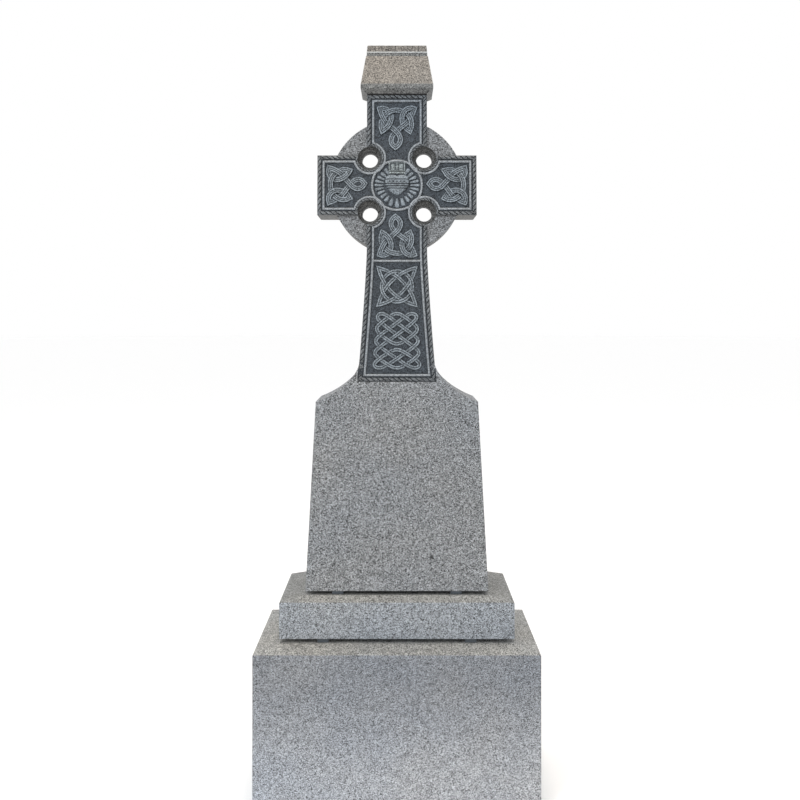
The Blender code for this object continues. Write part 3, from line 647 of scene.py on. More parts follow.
# The cap
# A house-shaped cap ends the upper arm, cut from the same granite. A corbel and a plain
# fascia carry its steep roof, whose top is cut back to a collar, a fine fillet and a crest.
CAP_WIDTH = 0.2375
CAP_DEPTH = 0.145
CORBEL_HEIGHT = 0.015
FASCIA_HEIGHT = 0.016
ROOF_HEIGHT = 0.1165
ROOF_TOP_WIDTH = 0.2005
ROOF_TOP_DEPTH = 0.050
CREST_DEPTH = 0.060
CREST_NICK = 0.0002
CREST_ENDS = (0.0025, 0.0038)
CREST_FACES = (0.0012, 0.0028)
COLLAR_HEIGHT = 0.0115
COLLAR_SETBACK = 0.0016
FILLET_HEIGHT = 0.0030
FILLET_PROUD = 0.0006
FILLET_STEP = 0.0003
CORBEL_TUCK = 0.007
CORBEL_DROP = 0.005
CORBEL_LAP = 0.0005
QUIRK_HEIGHT = 0.0028
CAP_EASE = 0.0014
CAP_STONE, ROOF, FILLET, QUIRK, CORBEL = range(5)

cap_finishes = [
    # The cap's eave, fascia and collar are painted darker than the rest of the stone: painted shade.
    granite("axed_cap_painted_shade", 0.126, (0.99, 1.0, 0.98), contrast=1.3),
    # The roof and crest are tinted warmer: painted warm light from above.
    granite("warm_lit_roof", 0.135, (1.09, 1.0, 0.90), contrast=1.3),
    # The fillet is near white: a painted highlight along its arris.
    granite("painted_highlight_fillet", 0.560, (0.98, 1.0, 1.0), contrast=0.3),
    # The tucked foot under the corbel is near black: a painted shadow line.
    granite("painted_quirk_shadow", 0.022, (1.0, 1.0, 1.0), contrast=0.6, shine=0.2),
    granite("shaded_corbel", 0.124, (1.0, 1.0, 0.98), contrast=1.2),
]
fascia_foot = NECK + CORBEL_HEIGHT
roof_foot = fascia_foot + FASCIA_HEIGHT
ridge = roof_foot + ROOF_HEIGHT
fillet_foot = ridge - FILLET_HEIGHT
collar_foot = fillet_foot - COLLAR_HEIGHT
crest_top = stone_high[2]
eave_x = CAP_WIDTH / 2
eave_y = CAP_DEPTH / 2
top_x = ROOF_TOP_WIDTH / 2
crest_y = CREST_DEPTH / 2
collar_share = (COLLAR_HEIGHT + FILLET_HEIGHT) / ROOF_HEIGHT
collar_x = top_x + collar_share * (eave_x - top_x)
collar_y = ROOF_TOP_DEPTH / 2 + collar_share * (eave_y - ROOF_TOP_DEPTH / 2)
cap_levels = [
    (HALF_ARM - CORBEL_TUCK, HALF_HEAD - CORBEL_TUCK, NECK - CORBEL_DROP, QUIRK),
    (HALF_ARM + CORBEL_LAP, HALF_HEAD + CORBEL_LAP, NECK + QUIRK_HEIGHT, CORBEL),
    (eave_x - CAP_EASE, eave_y - CAP_EASE, fascia_foot - CAP_EASE / 2, CAP_STONE),
    (eave_x, eave_y, fascia_foot + CAP_EASE / 2, CAP_STONE),
    (eave_x, eave_y, roof_foot - CAP_EASE, CAP_STONE),
    (eave_x - 0.6 * CAP_EASE, eave_y - CAP_EASE, roof_foot, ROOF),
    (collar_x, collar_y, collar_foot, CAP_STONE),
    (collar_x - COLLAR_SETBACK, collar_y - COLLAR_SETBACK, collar_foot + 2 * FILLET_STEP, CAP_STONE),
    (top_x - COLLAR_SETBACK / 2, collar_y - COLLAR_SETBACK, fillet_foot, FILLET),
    (top_x + FILLET_PROUD, crest_y + 2 * FILLET_PROUD, fillet_foot + FILLET_STEP, FILLET),
    (top_x + FILLET_PROUD, crest_y + 2 * FILLET_PROUD, ridge - 2 * CREST_NICK, FILLET),
    (top_x - CREST_NICK, crest_y - 2 * CREST_NICK, ridge + CREST_NICK, ROOF),
    (top_x - CREST_ENDS[0], crest_y - CREST_FACES[0], crest_top - CAP_EASE, ROOF),
    (top_x - CREST_ENDS[1], crest_y - CREST_FACES[1], crest_top, ROOF),
]
stone_piece("house_cap", stacked_block(cap_levels), cap_finishes, crease=15)

# The beads
# A raised half-round line frames every carved field. It turns round the hollows, makes the
# medallion's round, and crosses the shaft under the lower arm. It is cut from the granite.
BEAD_WIDTH = 0.0076
BEAD_FOOT = 0.0018
BEAD_FOOT_RISE = 0.0014
BEAD_CREST = 0.0004
BEAD_OVERLAP = 0.0053
BEAD_FULLNESS = 0.8
BEAD_STEP = 0.006
ROUND_BEAD_STEP = 0.005
BAR_STEP = 0.010
MEDALLION_RADIUS = math.sqrt(2) * HOLLOW_OFFSET - EYE_BEAD_RADIUS + BEAD_OVERLAP
CROSS_BAR = CENTRE - 0.249
BURIED = FIELD_SINK + 0.0012
MITRE_REACH = 0.012
MITRE_BACK = 0.034
MITRE_ROUNDS = 24
MITRE_STEPS = 240
GAUGE_STEPS = 33


def measured(run):
    """A run with its lengths along itself and its directions, for placing points by."""
    run = np.asarray(run, float)
    step = np.diff(run, axis=0)
    length = np.hypot(step[:, 0], step[:, 1])
    unit = step / length[:, None]
    tangent = np.vstack([unit[:1], unit[1:] + unit[:-1], unit[-1:]])
    tangent /= np.linalg.norm(tangent, axis=1)[:, None]
    return run, np.concatenate([[0.0], np.cumsum(length)]), tangent


def beside(line, s, u):
    """Points at distances s along a line and u to its left, going straight on past its ends."""
    run, along, tangent = line
    direction = np.stack([np.interp(s, along, tangent[:, k]) for k in (0, 1)], axis=-1)
    direction /= np.linalg.norm(direction, axis=-1)[..., None]
    spot = np.stack([np.interp(s, along, run[:, k]) for k in (0, 1)], axis=-1)
    spot += np.minimum(s, 0.0)[..., None] * tangent[0]
    spot += np.maximum(s - along[-1], 0.0)[..., None] * tangent[-1]
    return spot + np.asarray(u)[..., None] * np.stack([-direction[..., 1], direction[..., 0]], axis=-1)


def mitre(line, other, at_end, gauge):
    """How far along a line each offset of it goes before it meets the neighbouring line."""
    along = line[1]
    own = line[2][-1] if at_end else line[2][0]
    next_direction = other[2][0] if at_end else other[2][-1]
    corner = line[0][-1] if at_end else line[0][0]
    normal = own + next_direction
    normal /= max(np.linalg.norm(normal), 1e-9)
    steps = np.linspace(-min(0.5 * along[-1], MITRE_BACK), MITRE_REACH, MITRE_STEPS)
    s = along[-1] + steps if at_end else -steps
    shape = (len(s), len(gauge))
    spots = beside(line, np.broadcast_to(s[:, None], shape), np.broadcast_to(gauge, shape))
    side = (spots - corner) @ normal
    passed = side >= 0 if at_end else side <= 0
    first = np.where(passed.any(axis=0), passed.argmax(axis=0), len(s) - 1)
    return s[first]


def bars(runs, half_width, section, spacing, closed=True, looped=False):
    """Bars along runs, mitred where one run meets the next, as the skin of each run.

    section gives the offsets to the left and the depths of a cross-section's corners at
    distances along a run. A looped run is smooth and meets itself.
    """
    lines = [measured(run) for run in runs]
    gauge = np.linspace(-half_width, half_width, GAUGE_STEPS)
    parts = []
    travelled = 0.0
    for k, line in enumerate(lines):
        length = line[1][-1]
        number = max(3, math.ceil(length / spacing) + 1)
        start = np.zeros(len(gauge))
        stop = np.full(len(gauge), length)
        if not looped and (closed or k > 0):
            start = mitre(line, lines[k - 1], False, gauge)
        if not looped and (closed or k < len(lines) - 1):
            stop = mitre(line, lines[(k + 1) % len(lines)], True, gauge)
        share = np.linspace(0, 1, number)[:, None]
        if looped:
            share = share[:-1]
        s = share * length
        for _ in range(MITRE_ROUNDS):
            u, _ = section(s, travelled)
            low = np.interp(u, gauge, start)
            s = low + (np.interp(u, gauge, stop) - low) * share
        u, depth = section(s, travelled)
        parts.append(skin(on_front(beside(line, s, u), depth), looped))
        travelled += length
    return gather(parts)


def gather(parts):
    """Joins several shapes of points, faces and a number for each face into one."""
    points = []
    faces = []
    numbers = []
    for more_points, more_faces, more_numbers in parts:
        first = len(points)
        points += more_points
        faces += [tuple(first + corner for corner in face) for face in more_faces]
        numbers += more_numbers
    return points, faces, numbers


bead_angles = np.linspace(0, math.pi, 9)
bead_spring = FIELD_SINK - BEAD_FOOT_RISE
bead_reach = 0.5 * BEAD_WIDTH + BEAD_FOOT
bead_offsets = np.append(0.5 * BEAD_WIDTH * np.cos(bead_angles), [-bead_reach, bead_reach])
bead_depths = bead_spring - (bead_spring - BEAD_CREST) * np.sin(bead_angles) ** BEAD_FULLNESS
bead_depths = np.append(bead_depths, [BURIED, BURIED])


def bead_section(s, travelled):
    shape = (len(s), len(bead_offsets))
    return np.broadcast_to(bead_offsets, shape), np.broadcast_to(bead_depths, shape)


def bead(runs, spacing, **kind):
    points, faces, strips = bars(runs, bead_reach, bead_section, spacing, **kind)
    # The bead's feet and ends take painted shade where it meets the field.
    return points, faces, [0 if 0 <= strip < len(bead_angles) - 1 else 1 for strip in strips]


half_bar = float(shaft_half_width(CROSS_BAR)) - BEAD_INSET
bead_finish = granite("pale_bead", 0.238, (0.92, 1.0, 1.09), contrast=0.7, relief=0.2)
# A near-black finish for the walls and feet of the carving, its cut lines and the creases between strands:
# painted shade.
groove_shade_finish = granite("painted_groove_shade", 0.014, SHADED_TINT, contrast=0.6, shine=0.12)
bead_shapes = [
    bead(inset_runs(BEAD_INSET, EYE_BEAD_RADIUS), BEAD_STEP),
    bead([arc((0, CENTRE), MEDALLION_RADIUS, 0, 2 * math.pi, 96)], ROUND_BEAD_STEP, looped=True),
    bead([[(-half_bar, CROSS_BAR), (half_bar, CROSS_BAR)]], BAR_STEP, closed=False),
]
stone_piece("framing_beads", gather(bead_shapes), [bead_finish, groove_shade_finish])

# The cable moulding
# The arris of every arm and of the shaft is cut as a rope of two thick twisted strands. A
# thinner rope lines each hollow on the side of the medallion.
CABLE_RADIUS = 0.0062
CABLE_INSET = 0.0067
CABLE_PITCH = 0.0360
CABLE_STRANDS = 2
CABLE_STEP = 0.0022
EYE_CABLE_RADIUS = 0.0037
EYE_CABLE_PITCH = 0.0234
EYE_CABLE_STEP = 0.0018
EYE_CABLE_CENTRE = 0.0430
EYE_CABLE_SWEEP = 4.72
STRAND_SHARES = (0.0, 0.12, 0.22, 0.36, 0.50, 0.64, 0.78, 0.88)
STRAND_FULLNESS = (0.58, 0.84, 0.95, 0.99, 1.00, 0.99, 0.95, 0.84)

cable_finish = granite("grey_cable", 0.130, (0.93, 1.0, 1.07), contrast=1.0, shine=0.3)


def cable(runs, radius, pitch, spacing):
    share = np.array([strand + part for strand in range(CABLE_STRANDS) for part in STRAND_SHARES])
    fullness = radius * np.array(STRAND_FULLNESS * CABLE_STRANDS)

    def section(s, travelled):
        angle = 2 * math.pi * (share / CABLE_STRANDS + (s + travelled) / pitch)
        return fullness * np.cos(angle), radius - fullness * np.sin(angle)

    points, faces, strips = bars(runs, radius, section, spacing, closed=False)
    part = len(STRAND_SHARES)
    # The edges of each strand, in the creases where the strands meet, take painted shade.
    return points, faces, [1 if strip >= 0 and strip % part in (0, part - 1) else 0 for strip in strips]


cable_runs = inset_runs(CABLE_INSET, HOLLOW_RADIUS)
cable_shapes = []
for quarter in range(4):
    arm_runs = cable_runs[4 * quarter:4 * quarter + 3]
    cable_shapes.append(cable(arm_runs, CABLE_RADIUS, CABLE_PITCH, CABLE_STEP))
    facing, eye = eye_place(quarter)
    round_eye = arc(eye, EYE_CABLE_CENTRE, facing + math.pi + EYE_CABLE_SWEEP / 2, -EYE_CABLE_SWEEP, 60)
    cable_shapes.append(cable([round_eye], EYE_CABLE_RADIUS, EYE_CABLE_PITCH, EYE_CABLE_STEP))
stone_piece("cable_moulding", gather(cable_shapes), [cable_finish, groove_shade_finish], crease=60)

# The knots on the arms
# One endless band of three fine ridges on each arm, cut from the granite. It is drawn as
# two lobes with pointed tips and a pointed loop, and passes over and under itself in turn.
KNOT_BAND = 0.0180
KNOT_RIDGES = 3
KNOT_STEP = 0.0022
KNOT_HALF_WIDTH = 0.0570
KNOT_LEAN = 0.0050
OVER_SINK = 0.0014
UNDER_SINK = 0.0062
LEVEL_REACH = 0.62
LEVEL_SHARE = 0.42
GROOVE_WIDTH = 0.0022
GROOVE_SINK = 0.0019
WALL_LEAN = 0.0016
EDGE_FLAT = 0.0006
EDGE_DROP = 0.0016
RIDGE_DROP = 0.0004
SIDE_KNOT = (ARM_SPAN / 2 - BEAD_INSET - 0.0165, 0.1180)
KNOTS = {
    "right": SIDE_KNOT,
    "left": SIDE_KNOT,
    "upper": (UPPER_ARM_LENGTH - BEAD_INSET - 0.0240, 0.1300),
    "lower": (CENTRE - CROSS_BAR - 0.0190, 0.1265),
}

band_finish = granite("pale_band", 0.198, CARVED_TINT, contrast=0.8, shine=0.3, relief=0.2)
# Near black for the grooves between the ridges and the slopes at the band's edges: painted shade.
seam_shade_finish = granite("painted_band_seam_shade", 0.034, SHADED_TINT, contrast=0.6, shine=0.2)


def smooth(points, per_span):
    """A Catmull-Rom curve through the points."""
    p = np.array(points, float)
    result = []
    for i in range(len(p) - 1):
        a, b, c, d = p[max(i - 1, 0)], p[i], p[i + 1], p[min(i + 2, len(p) - 1)]
        for t in np.arange(per_span) / per_span:
            result.append(0.5 * (2 * b + (c - a) * t + (2 * a - 5 * b + 4 * c - d) * t ** 2
                                 + (3 * b - a - 3 * c + d) * t ** 3))
    return result + [p[-1]]


def crossings(paths):
    """Where closed paths cross: (path, distance, path, distance), measured along them."""
    starts = np.concatenate(paths)
    ends = np.concatenate([np.roll(p, -1, axis=0) for p in paths])
    owner = np.concatenate([np.full(len(p), i) for i, p in enumerate(paths)])
    place = np.concatenate([np.arange(len(p)) for p in paths])
    length = np.linalg.norm(ends - starts, axis=1)
    travelled = np.concatenate([np.concatenate([[0.0], np.cumsum(length[owner == i])[:-1]])
                                for i in range(len(paths))])
    found = []
    for k in range(len(starts) - 1):
        step = ends[k] - starts[k]
        across = ends[k + 1:] - starts[k + 1:]
        gap = starts[k + 1:] - starts[k]
        area = step[0] * across[:, 1] - step[1] * across[:, 0]
        area = np.where(np.abs(area) < 1e-14, 1e9, area)
        s = (gap[:, 0] * across[:, 1] - gap[:, 1] * across[:, 0]) / area
        t = (gap[:, 0] * step[1] - gap[:, 1] * step[0]) / area
        for hit in np.nonzero((s >= 0) & (s < 1) & (t >= 0) & (t < 1))[0]:
            other = k + 1 + hit
            around = len(paths[owner[k]])
            if owner[k] == owner[other] and (place[other] - place[k]) % around in (1, around - 1):
                continue
            found.append((owner[k], travelled[k] + s[hit] * length[k],
                          owner[other], travelled[other] + t[hit] * length[other]))
    return found


def woven_level(places, signs, around, width):
    """The depth of a band's top along it: level through each crossing, sloping between."""
    stations = []
    heights = []
    for i, (place, sign) in enumerate(zip(places, signs)):
        before = (place - places[i - 1]) % around
        after = (places[(i + 1) % len(places)] - place) % around
        stations += [place - min(LEVEL_REACH * width, LEVEL_SHARE * before),
                     place + min(LEVEL_REACH * width, LEVEL_SHARE * after)]
        heights += [sign, sign]
    stations = np.array(stations)
    stations = np.concatenate([stations - around, stations, stations + around])
    heights = np.tile(heights, 3)

    def level(s):
        wave = np.sin(0.5 * math.pi * np.interp(np.mod(s, around), stations, heights))
        return 0.5 * (OVER_SINK + UNDER_SINK) + 0.5 * (OVER_SINK - UNDER_SINK) * wave

    return level


def weave(paths, width):
    """For each closed path, a function that gives its level at distances along it."""
    visits = [[] for _ in paths]
    for number, (first, place, second, other_place) in enumerate(crossings(paths)):
        visits[first].append((place, number, 0))
        visits[second].append((other_place, number, 1))
    above = {}
    levels = [None] * len(paths)
    waiting = list(range(len(paths)))
    while waiting:
        chosen = next((p for p in waiting if any(n in above for _, n, _ in visits[p])), waiting[0])
        waiting.remove(chosen)
        order = sorted(visits[chosen])
        lead = 1
        for i, (_, number, side) in enumerate(order):
            if number in above:
                lead = above[number] * (-1) ** (i + side)
                break
        for i, (_, number, side) in enumerate(order):
            above.setdefault(number, lead * (-1) ** (i + side))
        around = np.linalg.norm(np.roll(paths[chosen], -1, axis=0) - paths[chosen], axis=1).sum()
        signs = [lead * (-1) ** i for i in range(len(order))]
        levels[chosen] = woven_level([place for place, _, _ in order], signs, around, width)
    return levels


def band_profile(width, ridges):
    """Corners across a band: offset, depth under its top (None at its foot), and if the strip after it is
    painted shade.
    """
    half = width / 2
    pitch = (width - 2 * EDGE_FLAT) / ridges
    corners = [(-half - WALL_LEAN, None, True), (-half, EDGE_DROP, True)]
    for ridge in range(ridges):
        left = -half + EDGE_FLAT + ridge * pitch
        rise = left + (0.5 * GROOVE_WIDTH if ridge else 0.0)
        fall = left + pitch - (0.5 * GROOVE_WIDTH if ridge < ridges - 1 else 0.0)
        corners += [(rise, RIDGE_DROP, False), (left + 0.5 * pitch, 0.0, False), (fall, RIDGE_DROP, True)]
        if ridge < ridges - 1:
            corners.append((left + pitch, GROOVE_SINK, True))
    corners += [(half, EDGE_DROP, True), (half + WALL_LEAN, None, True)]
    return corners


def band(runs, width, ridges, level, spacing, looped=False):
    corners = band_profile(width, ridges)
    offsets = np.array([corner[0] for corner in corners])
    foot = np.array([corner[1] is None for corner in corners])
    drop = np.array([corner[1] or 0.0 for corner in corners])

    def section(s, travelled):
        top = level(s + travelled) + drop
        shape = (len(s), len(offsets))
        return np.broadcast_to(offsets, shape), np.where(foot, BURIED, np.broadcast_to(top, shape))

    points, faces, strips = bars(runs, width / 2 + WALL_LEAN, section, spacing, looped=looped)
    numbers = []
    # Walls take the groove's painted shade; the grooves and the edge slopes take the seam's painted shade.
    for strip in strips:
        wall = strip < 0 or foot[strip] or foot[(strip + 1) % len(foot)]
        numbers.append(2 if wall else 1 if corners[strip][2] else 0)
    return points, faces, numbers


def arm_point(arm, along, across):
    return {"right": (along, CENTRE + across), "left": (-along, CENTRE + across),
            "upper": (-across, CENTRE + along), "lower": (-across, CENTRE - along)}[arm]


def arm_knot(arm, far, length):
    """The five runs of an arm's knot between its pointed tips."""
    outer = [(0.953, 0.0), (0.911, 0.41), (0.80, 0.70), (0.667, 0.85), (0.533, 0.87), (0.417, 0.79)]
    back = [(0.417, 0.79), (0.50, 0.54), (0.628, 0.36), (0.769, 0.31), (0.911, 0.42),
            (0.985, 0.63), (1.0, 0.84), (0.983, 1.0)]
    loop = [(0.983, 1.0), (0.856, 0.90), (0.717, 0.74), (0.606, 0.55), (0.511, 0.28),
            (0.411, 0.03), (0.317, -0.17), (0.194, -0.27), (0.081, -0.20), (0.0, 0.0)]

    def flip(run):
        return [(a, -b) for a, b in reversed(run)]

    runs = []
    for run in (flip(outer)[:-1] + outer, back, loop, flip(loop), flip(back)):
        placed = []
        for a, b in smooth(run, 7):
            along = far - (1 - a) * length
            placed.append(arm_point(arm, along, b * KNOT_HALF_WIDTH + KNOT_LEAN * (1 - a)))
        runs.append(np.array(placed))
    return runs


band_finishes = [band_finish, seam_shade_finish, groove_shade_finish]
for arm, (far, length) in KNOTS.items():
    knot_runs = arm_knot(arm, far, length)
    knot_level = weave([joined(knot_runs)], KNOT_BAND)[0]
    knot = band(knot_runs, KNOT_BAND, KNOT_RIDGES, knot_level, KNOT_STEP)
    stone_piece(f"{arm}_arm_knot", knot, band_finishes)

# The shaft's panel
# Bands of two ridges, cut from the granite. At the top two pointed ovals cross, laced
# together by a ring. Below them is a plait of six bands, parted once in the middle.
PANEL_BAND = 0.0130
PANEL_RIDGES = 2
PANEL_STEP = 0.0024
PLAIT_COLUMNS = 3
PLAIT_ROWS = 5
PLAIT_BREAK = 4
PLAIT_MARGIN = 0.0105
PLAIT_SPACING = 0.0021
TURN_PULL = 0.30
OVAL_REACH = 0.0850
OVAL_WAIST = 0.0245
OVAL_TIP = 0.0120
RING_KNOT_RADIUS = 0.0500
RING_KNOT_MARGIN = 0.0110
BEAD_CLEAR = BEAD_WIDTH / 2


def corner_cut(path, share):
    """Rounds the turns of a closed path."""
    after = np.roll(path, -1, axis=0)
    cut = np.empty((2 * len(path), 2))
    cut[0::2] = (1 - share) * path + share * after
    cut[1::2] = share * path + (1 - share) * after
    return cut


def evenly(path, spacing):
    """A closed path with evenly spaced points, the first a little way along it."""
    loop = np.vstack([path, path[:1]])
    along = np.append(0.0, np.cumsum(np.linalg.norm(np.diff(loop, axis=0), axis=1)))
    marks = (np.arange(round(along[-1] / spacing)) + 0.37) / round(along[-1] / spacing) * along[-1]
    return np.stack([np.interp(marks, along, loop[:, k]) for k in (0, 1)], axis=1)


def plait_paths(low, high):
    """Closed strands traced through a grid whose edges turn them back."""
    wide = 2 * PLAIT_COLUMNS
    tall = 2 * PLAIT_ROWS
    middle = wide // 2
    walls = {(i, j) for i in range(1, wide, 2) for j in (0, tall)} | {(middle, PLAIT_BREAK)}
    used = set()
    placed = []
    for i in range(1, wide, 2):
        for z, dz in ((0, 1), (tall, -1)):
            x, dx = i, 1
            strand = []
            while (x, z, dx, dz) not in used:
                used |= {(x, z, dx, dz), (x + dx, z + dz, -dx, -dz)}
                x, z = x + dx, z + dz
                if x in (0, wide):
                    strand.append((x - TURN_PULL * dx, z))
                    dx = -dx
                elif (x, z) in walls:
                    strand.append((x, z - TURN_PULL * dz))
                    dz = -dz
                else:
                    strand.append((x, z))
            if not strand:
                continue
            rounded = corner_cut(np.array(strand, float), 0.28)
            for _ in range(3):
                rounded = corner_cut(rounded, 0.25)
            heights = low + (high - low) * rounded[:, 1] / tall
            reach = shaft_half_width(heights) - BEAD_INSET - BEAD_CLEAR - PLAIT_MARGIN
            strand = np.stack([reach * (rounded[:, 0] / middle - 1), heights], axis=1)
            placed.append(evenly(strand, PLAIT_SPACING))
    return placed


def pointed_oval(centre, turn):
    """The two curved sides of an oval whose pointed ends lie along the turned axis."""
    radius = (OVAL_REACH ** 2 + OVAL_WAIST ** 2) / (2 * OVAL_WAIST)
    half_sweep = math.asin(OVAL_REACH / radius)
    sides = []
    shift = radius - OVAL_WAIST
    for facing in (turn + math.pi / 2, turn - math.pi / 2):
        middle = (-shift * math.cos(facing), centre - shift * math.sin(facing))
        sides.append(arc(middle, radius, facing - half_sweep, 2 * half_sweep, 48))
    return sides


knot_corner = (OVAL_REACH + OVAL_TIP) / math.sqrt(2)
ring_centre = CROSS_BAR - BEAD_CLEAR - RING_KNOT_MARGIN - knot_corner
plait_low = FRAME_BOTTOM + BEAD_INSET + BEAD_CLEAR + PLAIT_MARGIN
plait_high = ring_centre - knot_corner - PLAIT_MARGIN
ring_path = arc((0, ring_centre), RING_KNOT_RADIUS, 0, 2 * math.pi, 120)
oval_runs = [pointed_oval(ring_centre, turn) for turn in (math.pi / 4, -math.pi / 4)]
top_levels = weave([ring_path[:-1], *(joined(runs) for runs in oval_runs)], PANEL_BAND)
panel_parts = [band([ring_path], PANEL_BAND, PANEL_RIDGES, top_levels[0], PANEL_STEP, looped=True)]
for runs, level in zip(oval_runs, top_levels[1:]):
    panel_parts.append(band(runs, PANEL_BAND, PANEL_RIDGES, level, PANEL_STEP))
plait = plait_paths(plait_low, plait_high)
for path, level in zip(plait, weave(plait, PANEL_BAND)):
    strand = np.vstack([path, path[:1]])
    panel_parts.append(band([strand], PANEL_BAND, PANEL_RIDGES, level, PANEL_STEP, looped=True))
stone_piece("shaft_interlace", gather(panel_parts), band_finishes)

# The rays of the medallion
# A wreath of tapering rays stands on the sunk ground inside the medallion's bead. Each is a
# rounded finger of granite. They crowd a little at the sides, and none stands at the crown.
RAY_COUNT = 24
RAY_CROWDING = 0.12
RAY_INNER_RADIUS = 0.0435
RAY_SHORT_RADIUS = 0.0665
RAY_LONG_RADIUS = 0.0750
RAY_RISE = 0.0052
RAY_HALF_SHARE = 0.37
RAY_FULLNESS = 0.7
RAY_BLUNTNESS = 0.1
RAY_STATIONS = ((0.0, 0.25), (0.04, 0.58), (0.12, 0.78), (0.45, 0.92), (0.75, 1.0), (0.88, 0.94),
                (0.96, 0.70), (1.0, 0.28))
CROWN_WIDTH = 0.0540

ray_finish = granite("pale_ray", 0.200, CARVED_TINT, contrast=0.8, shine=0.3, relief=0.2)


def ray(number):
    """A ray's shape, or None where the crown takes its place."""
    even = number * 2 * math.pi / RAY_COUNT
    angle = even - RAY_CROWDING * math.sin(2 * even)
    gap = 2 * math.pi / RAY_COUNT * (1 - 2 * RAY_CROWDING * math.cos(2 * even))
    outer = RAY_SHORT_RADIUS + (RAY_LONG_RADIUS - RAY_SHORT_RADIUS) * math.cos(2 * angle) ** 2
    outward = np.array([math.cos(angle), math.sin(angle)])
    if outward[1] > 0 and outer * (abs(outward[0]) - RAY_HALF_SHARE * gap) < CROWN_WIDTH / 2:
        return None
    sideways = np.array([-outward[1], outward[0]])
    round_back = np.linspace(0, math.pi, 9)
    rings = []
    for share, fullness in RAY_STATIONS:
        r = RAY_INNER_RADIUS + share * (outer - RAY_INNER_RADIUS)
        half = RAY_HALF_SHARE * r * gap * fullness
        flat = np.array([0.0, CENTRE]) + outward * r + np.outer(half * np.cos(round_back), sideways)
        rise = BURIED - FIELD_SINK + RAY_RISE * min(1.0, fullness + RAY_BLUNTNESS)
        rings.append(on_front(flat, BURIED - rise * np.sin(round_back) ** RAY_FULLNESS))
    points, faces, strips = skin(rings)
    # The ray's flanks, where it meets the ground, take painted shade.
    return points, faces, [0 if 0 < strip < len(round_back) - 2 else 1 for strip in strips]


rays = [made for made in map(ray, range(RAY_COUNT)) if made]
stone_piece("wreath_of_rays", gather(rays), [ray_finish, groove_shade_finish], crease=50)

# The heart
# A full, rounded heart in the middle of the medallion, cut from the granite and crossed by
# four engraved lines, with a row of small oval sinkings between the first and the second.
HEART_WIDTH = 0.0800
HEART_HEIGHT = 0.0700
HEART_LIFT = 0.0010
HEART_CREST = 0.0006
HEART_FOOT = 0.0010
HEART_EDGE = 0.42
HEART_FULLNESS = 2.4
HEART_RIM = 0.975
HEART_RINGS = (HEART_RIM, 0.94, 0.89, 0.82, 0.73, 0.62, 0.48, 0.32, 0.15)
HEART_SIDE = ((0.0, 0.425), (0.08, 0.480), (0.22, 0.500), (0.37, 0.465), (0.465, 0.355), (0.500, 0.19),
              (0.485, 0.02), (0.41, -0.145), (0.28, -0.30), (0.13, -0.43), (0.0, -0.500))
HEART_LINES = (0.0190, 0.0045, -0.0035, -0.0110)
LINE_HALF = 0.0014
LINE_FLOOR = 0.4
LINE_SINK = 0.0022
LINE_MARKS = 61
LINE_REACH = 0.965
SINKING = (0.0034, 0.0020)
SINKING_FLOOR = 0.6
SINKING_PITCH = 0.0118
SINKING_HEIGHT = 0.0118
SINKING_PLACES = [(SINKING_PITCH * number, SINKING_HEIGHT) for number in (-2, -1, 0, 1, 2)]

heart_finish = granite("grey_heart", 0.190, CARVED_TINT, contrast=0.8, shine=0.3)


def heart_outline():
    """A heart round its own middle, from its notch down the right side and up the left."""
    right = np.array(smooth(HEART_SIDE, 5)) * (HEART_WIDTH, HEART_HEIGHT)
    left = right[-2:0:-1] * (-1, 1)
    return np.concatenate([right, left])


def from_lines(spots):
    """How far each point is from the nearest engraved line's middle."""
    return np.min([np.abs(spots[:, 1] - line) for line in HEART_LINES], axis=0)


def from_sinkings(spots):
    """How far each point is from the nearest oval's middle, with its edge at 1."""
    return np.min([np.hypot(*((spots - place) / SINKING).T) for place in SINKING_PLACES], axis=0)


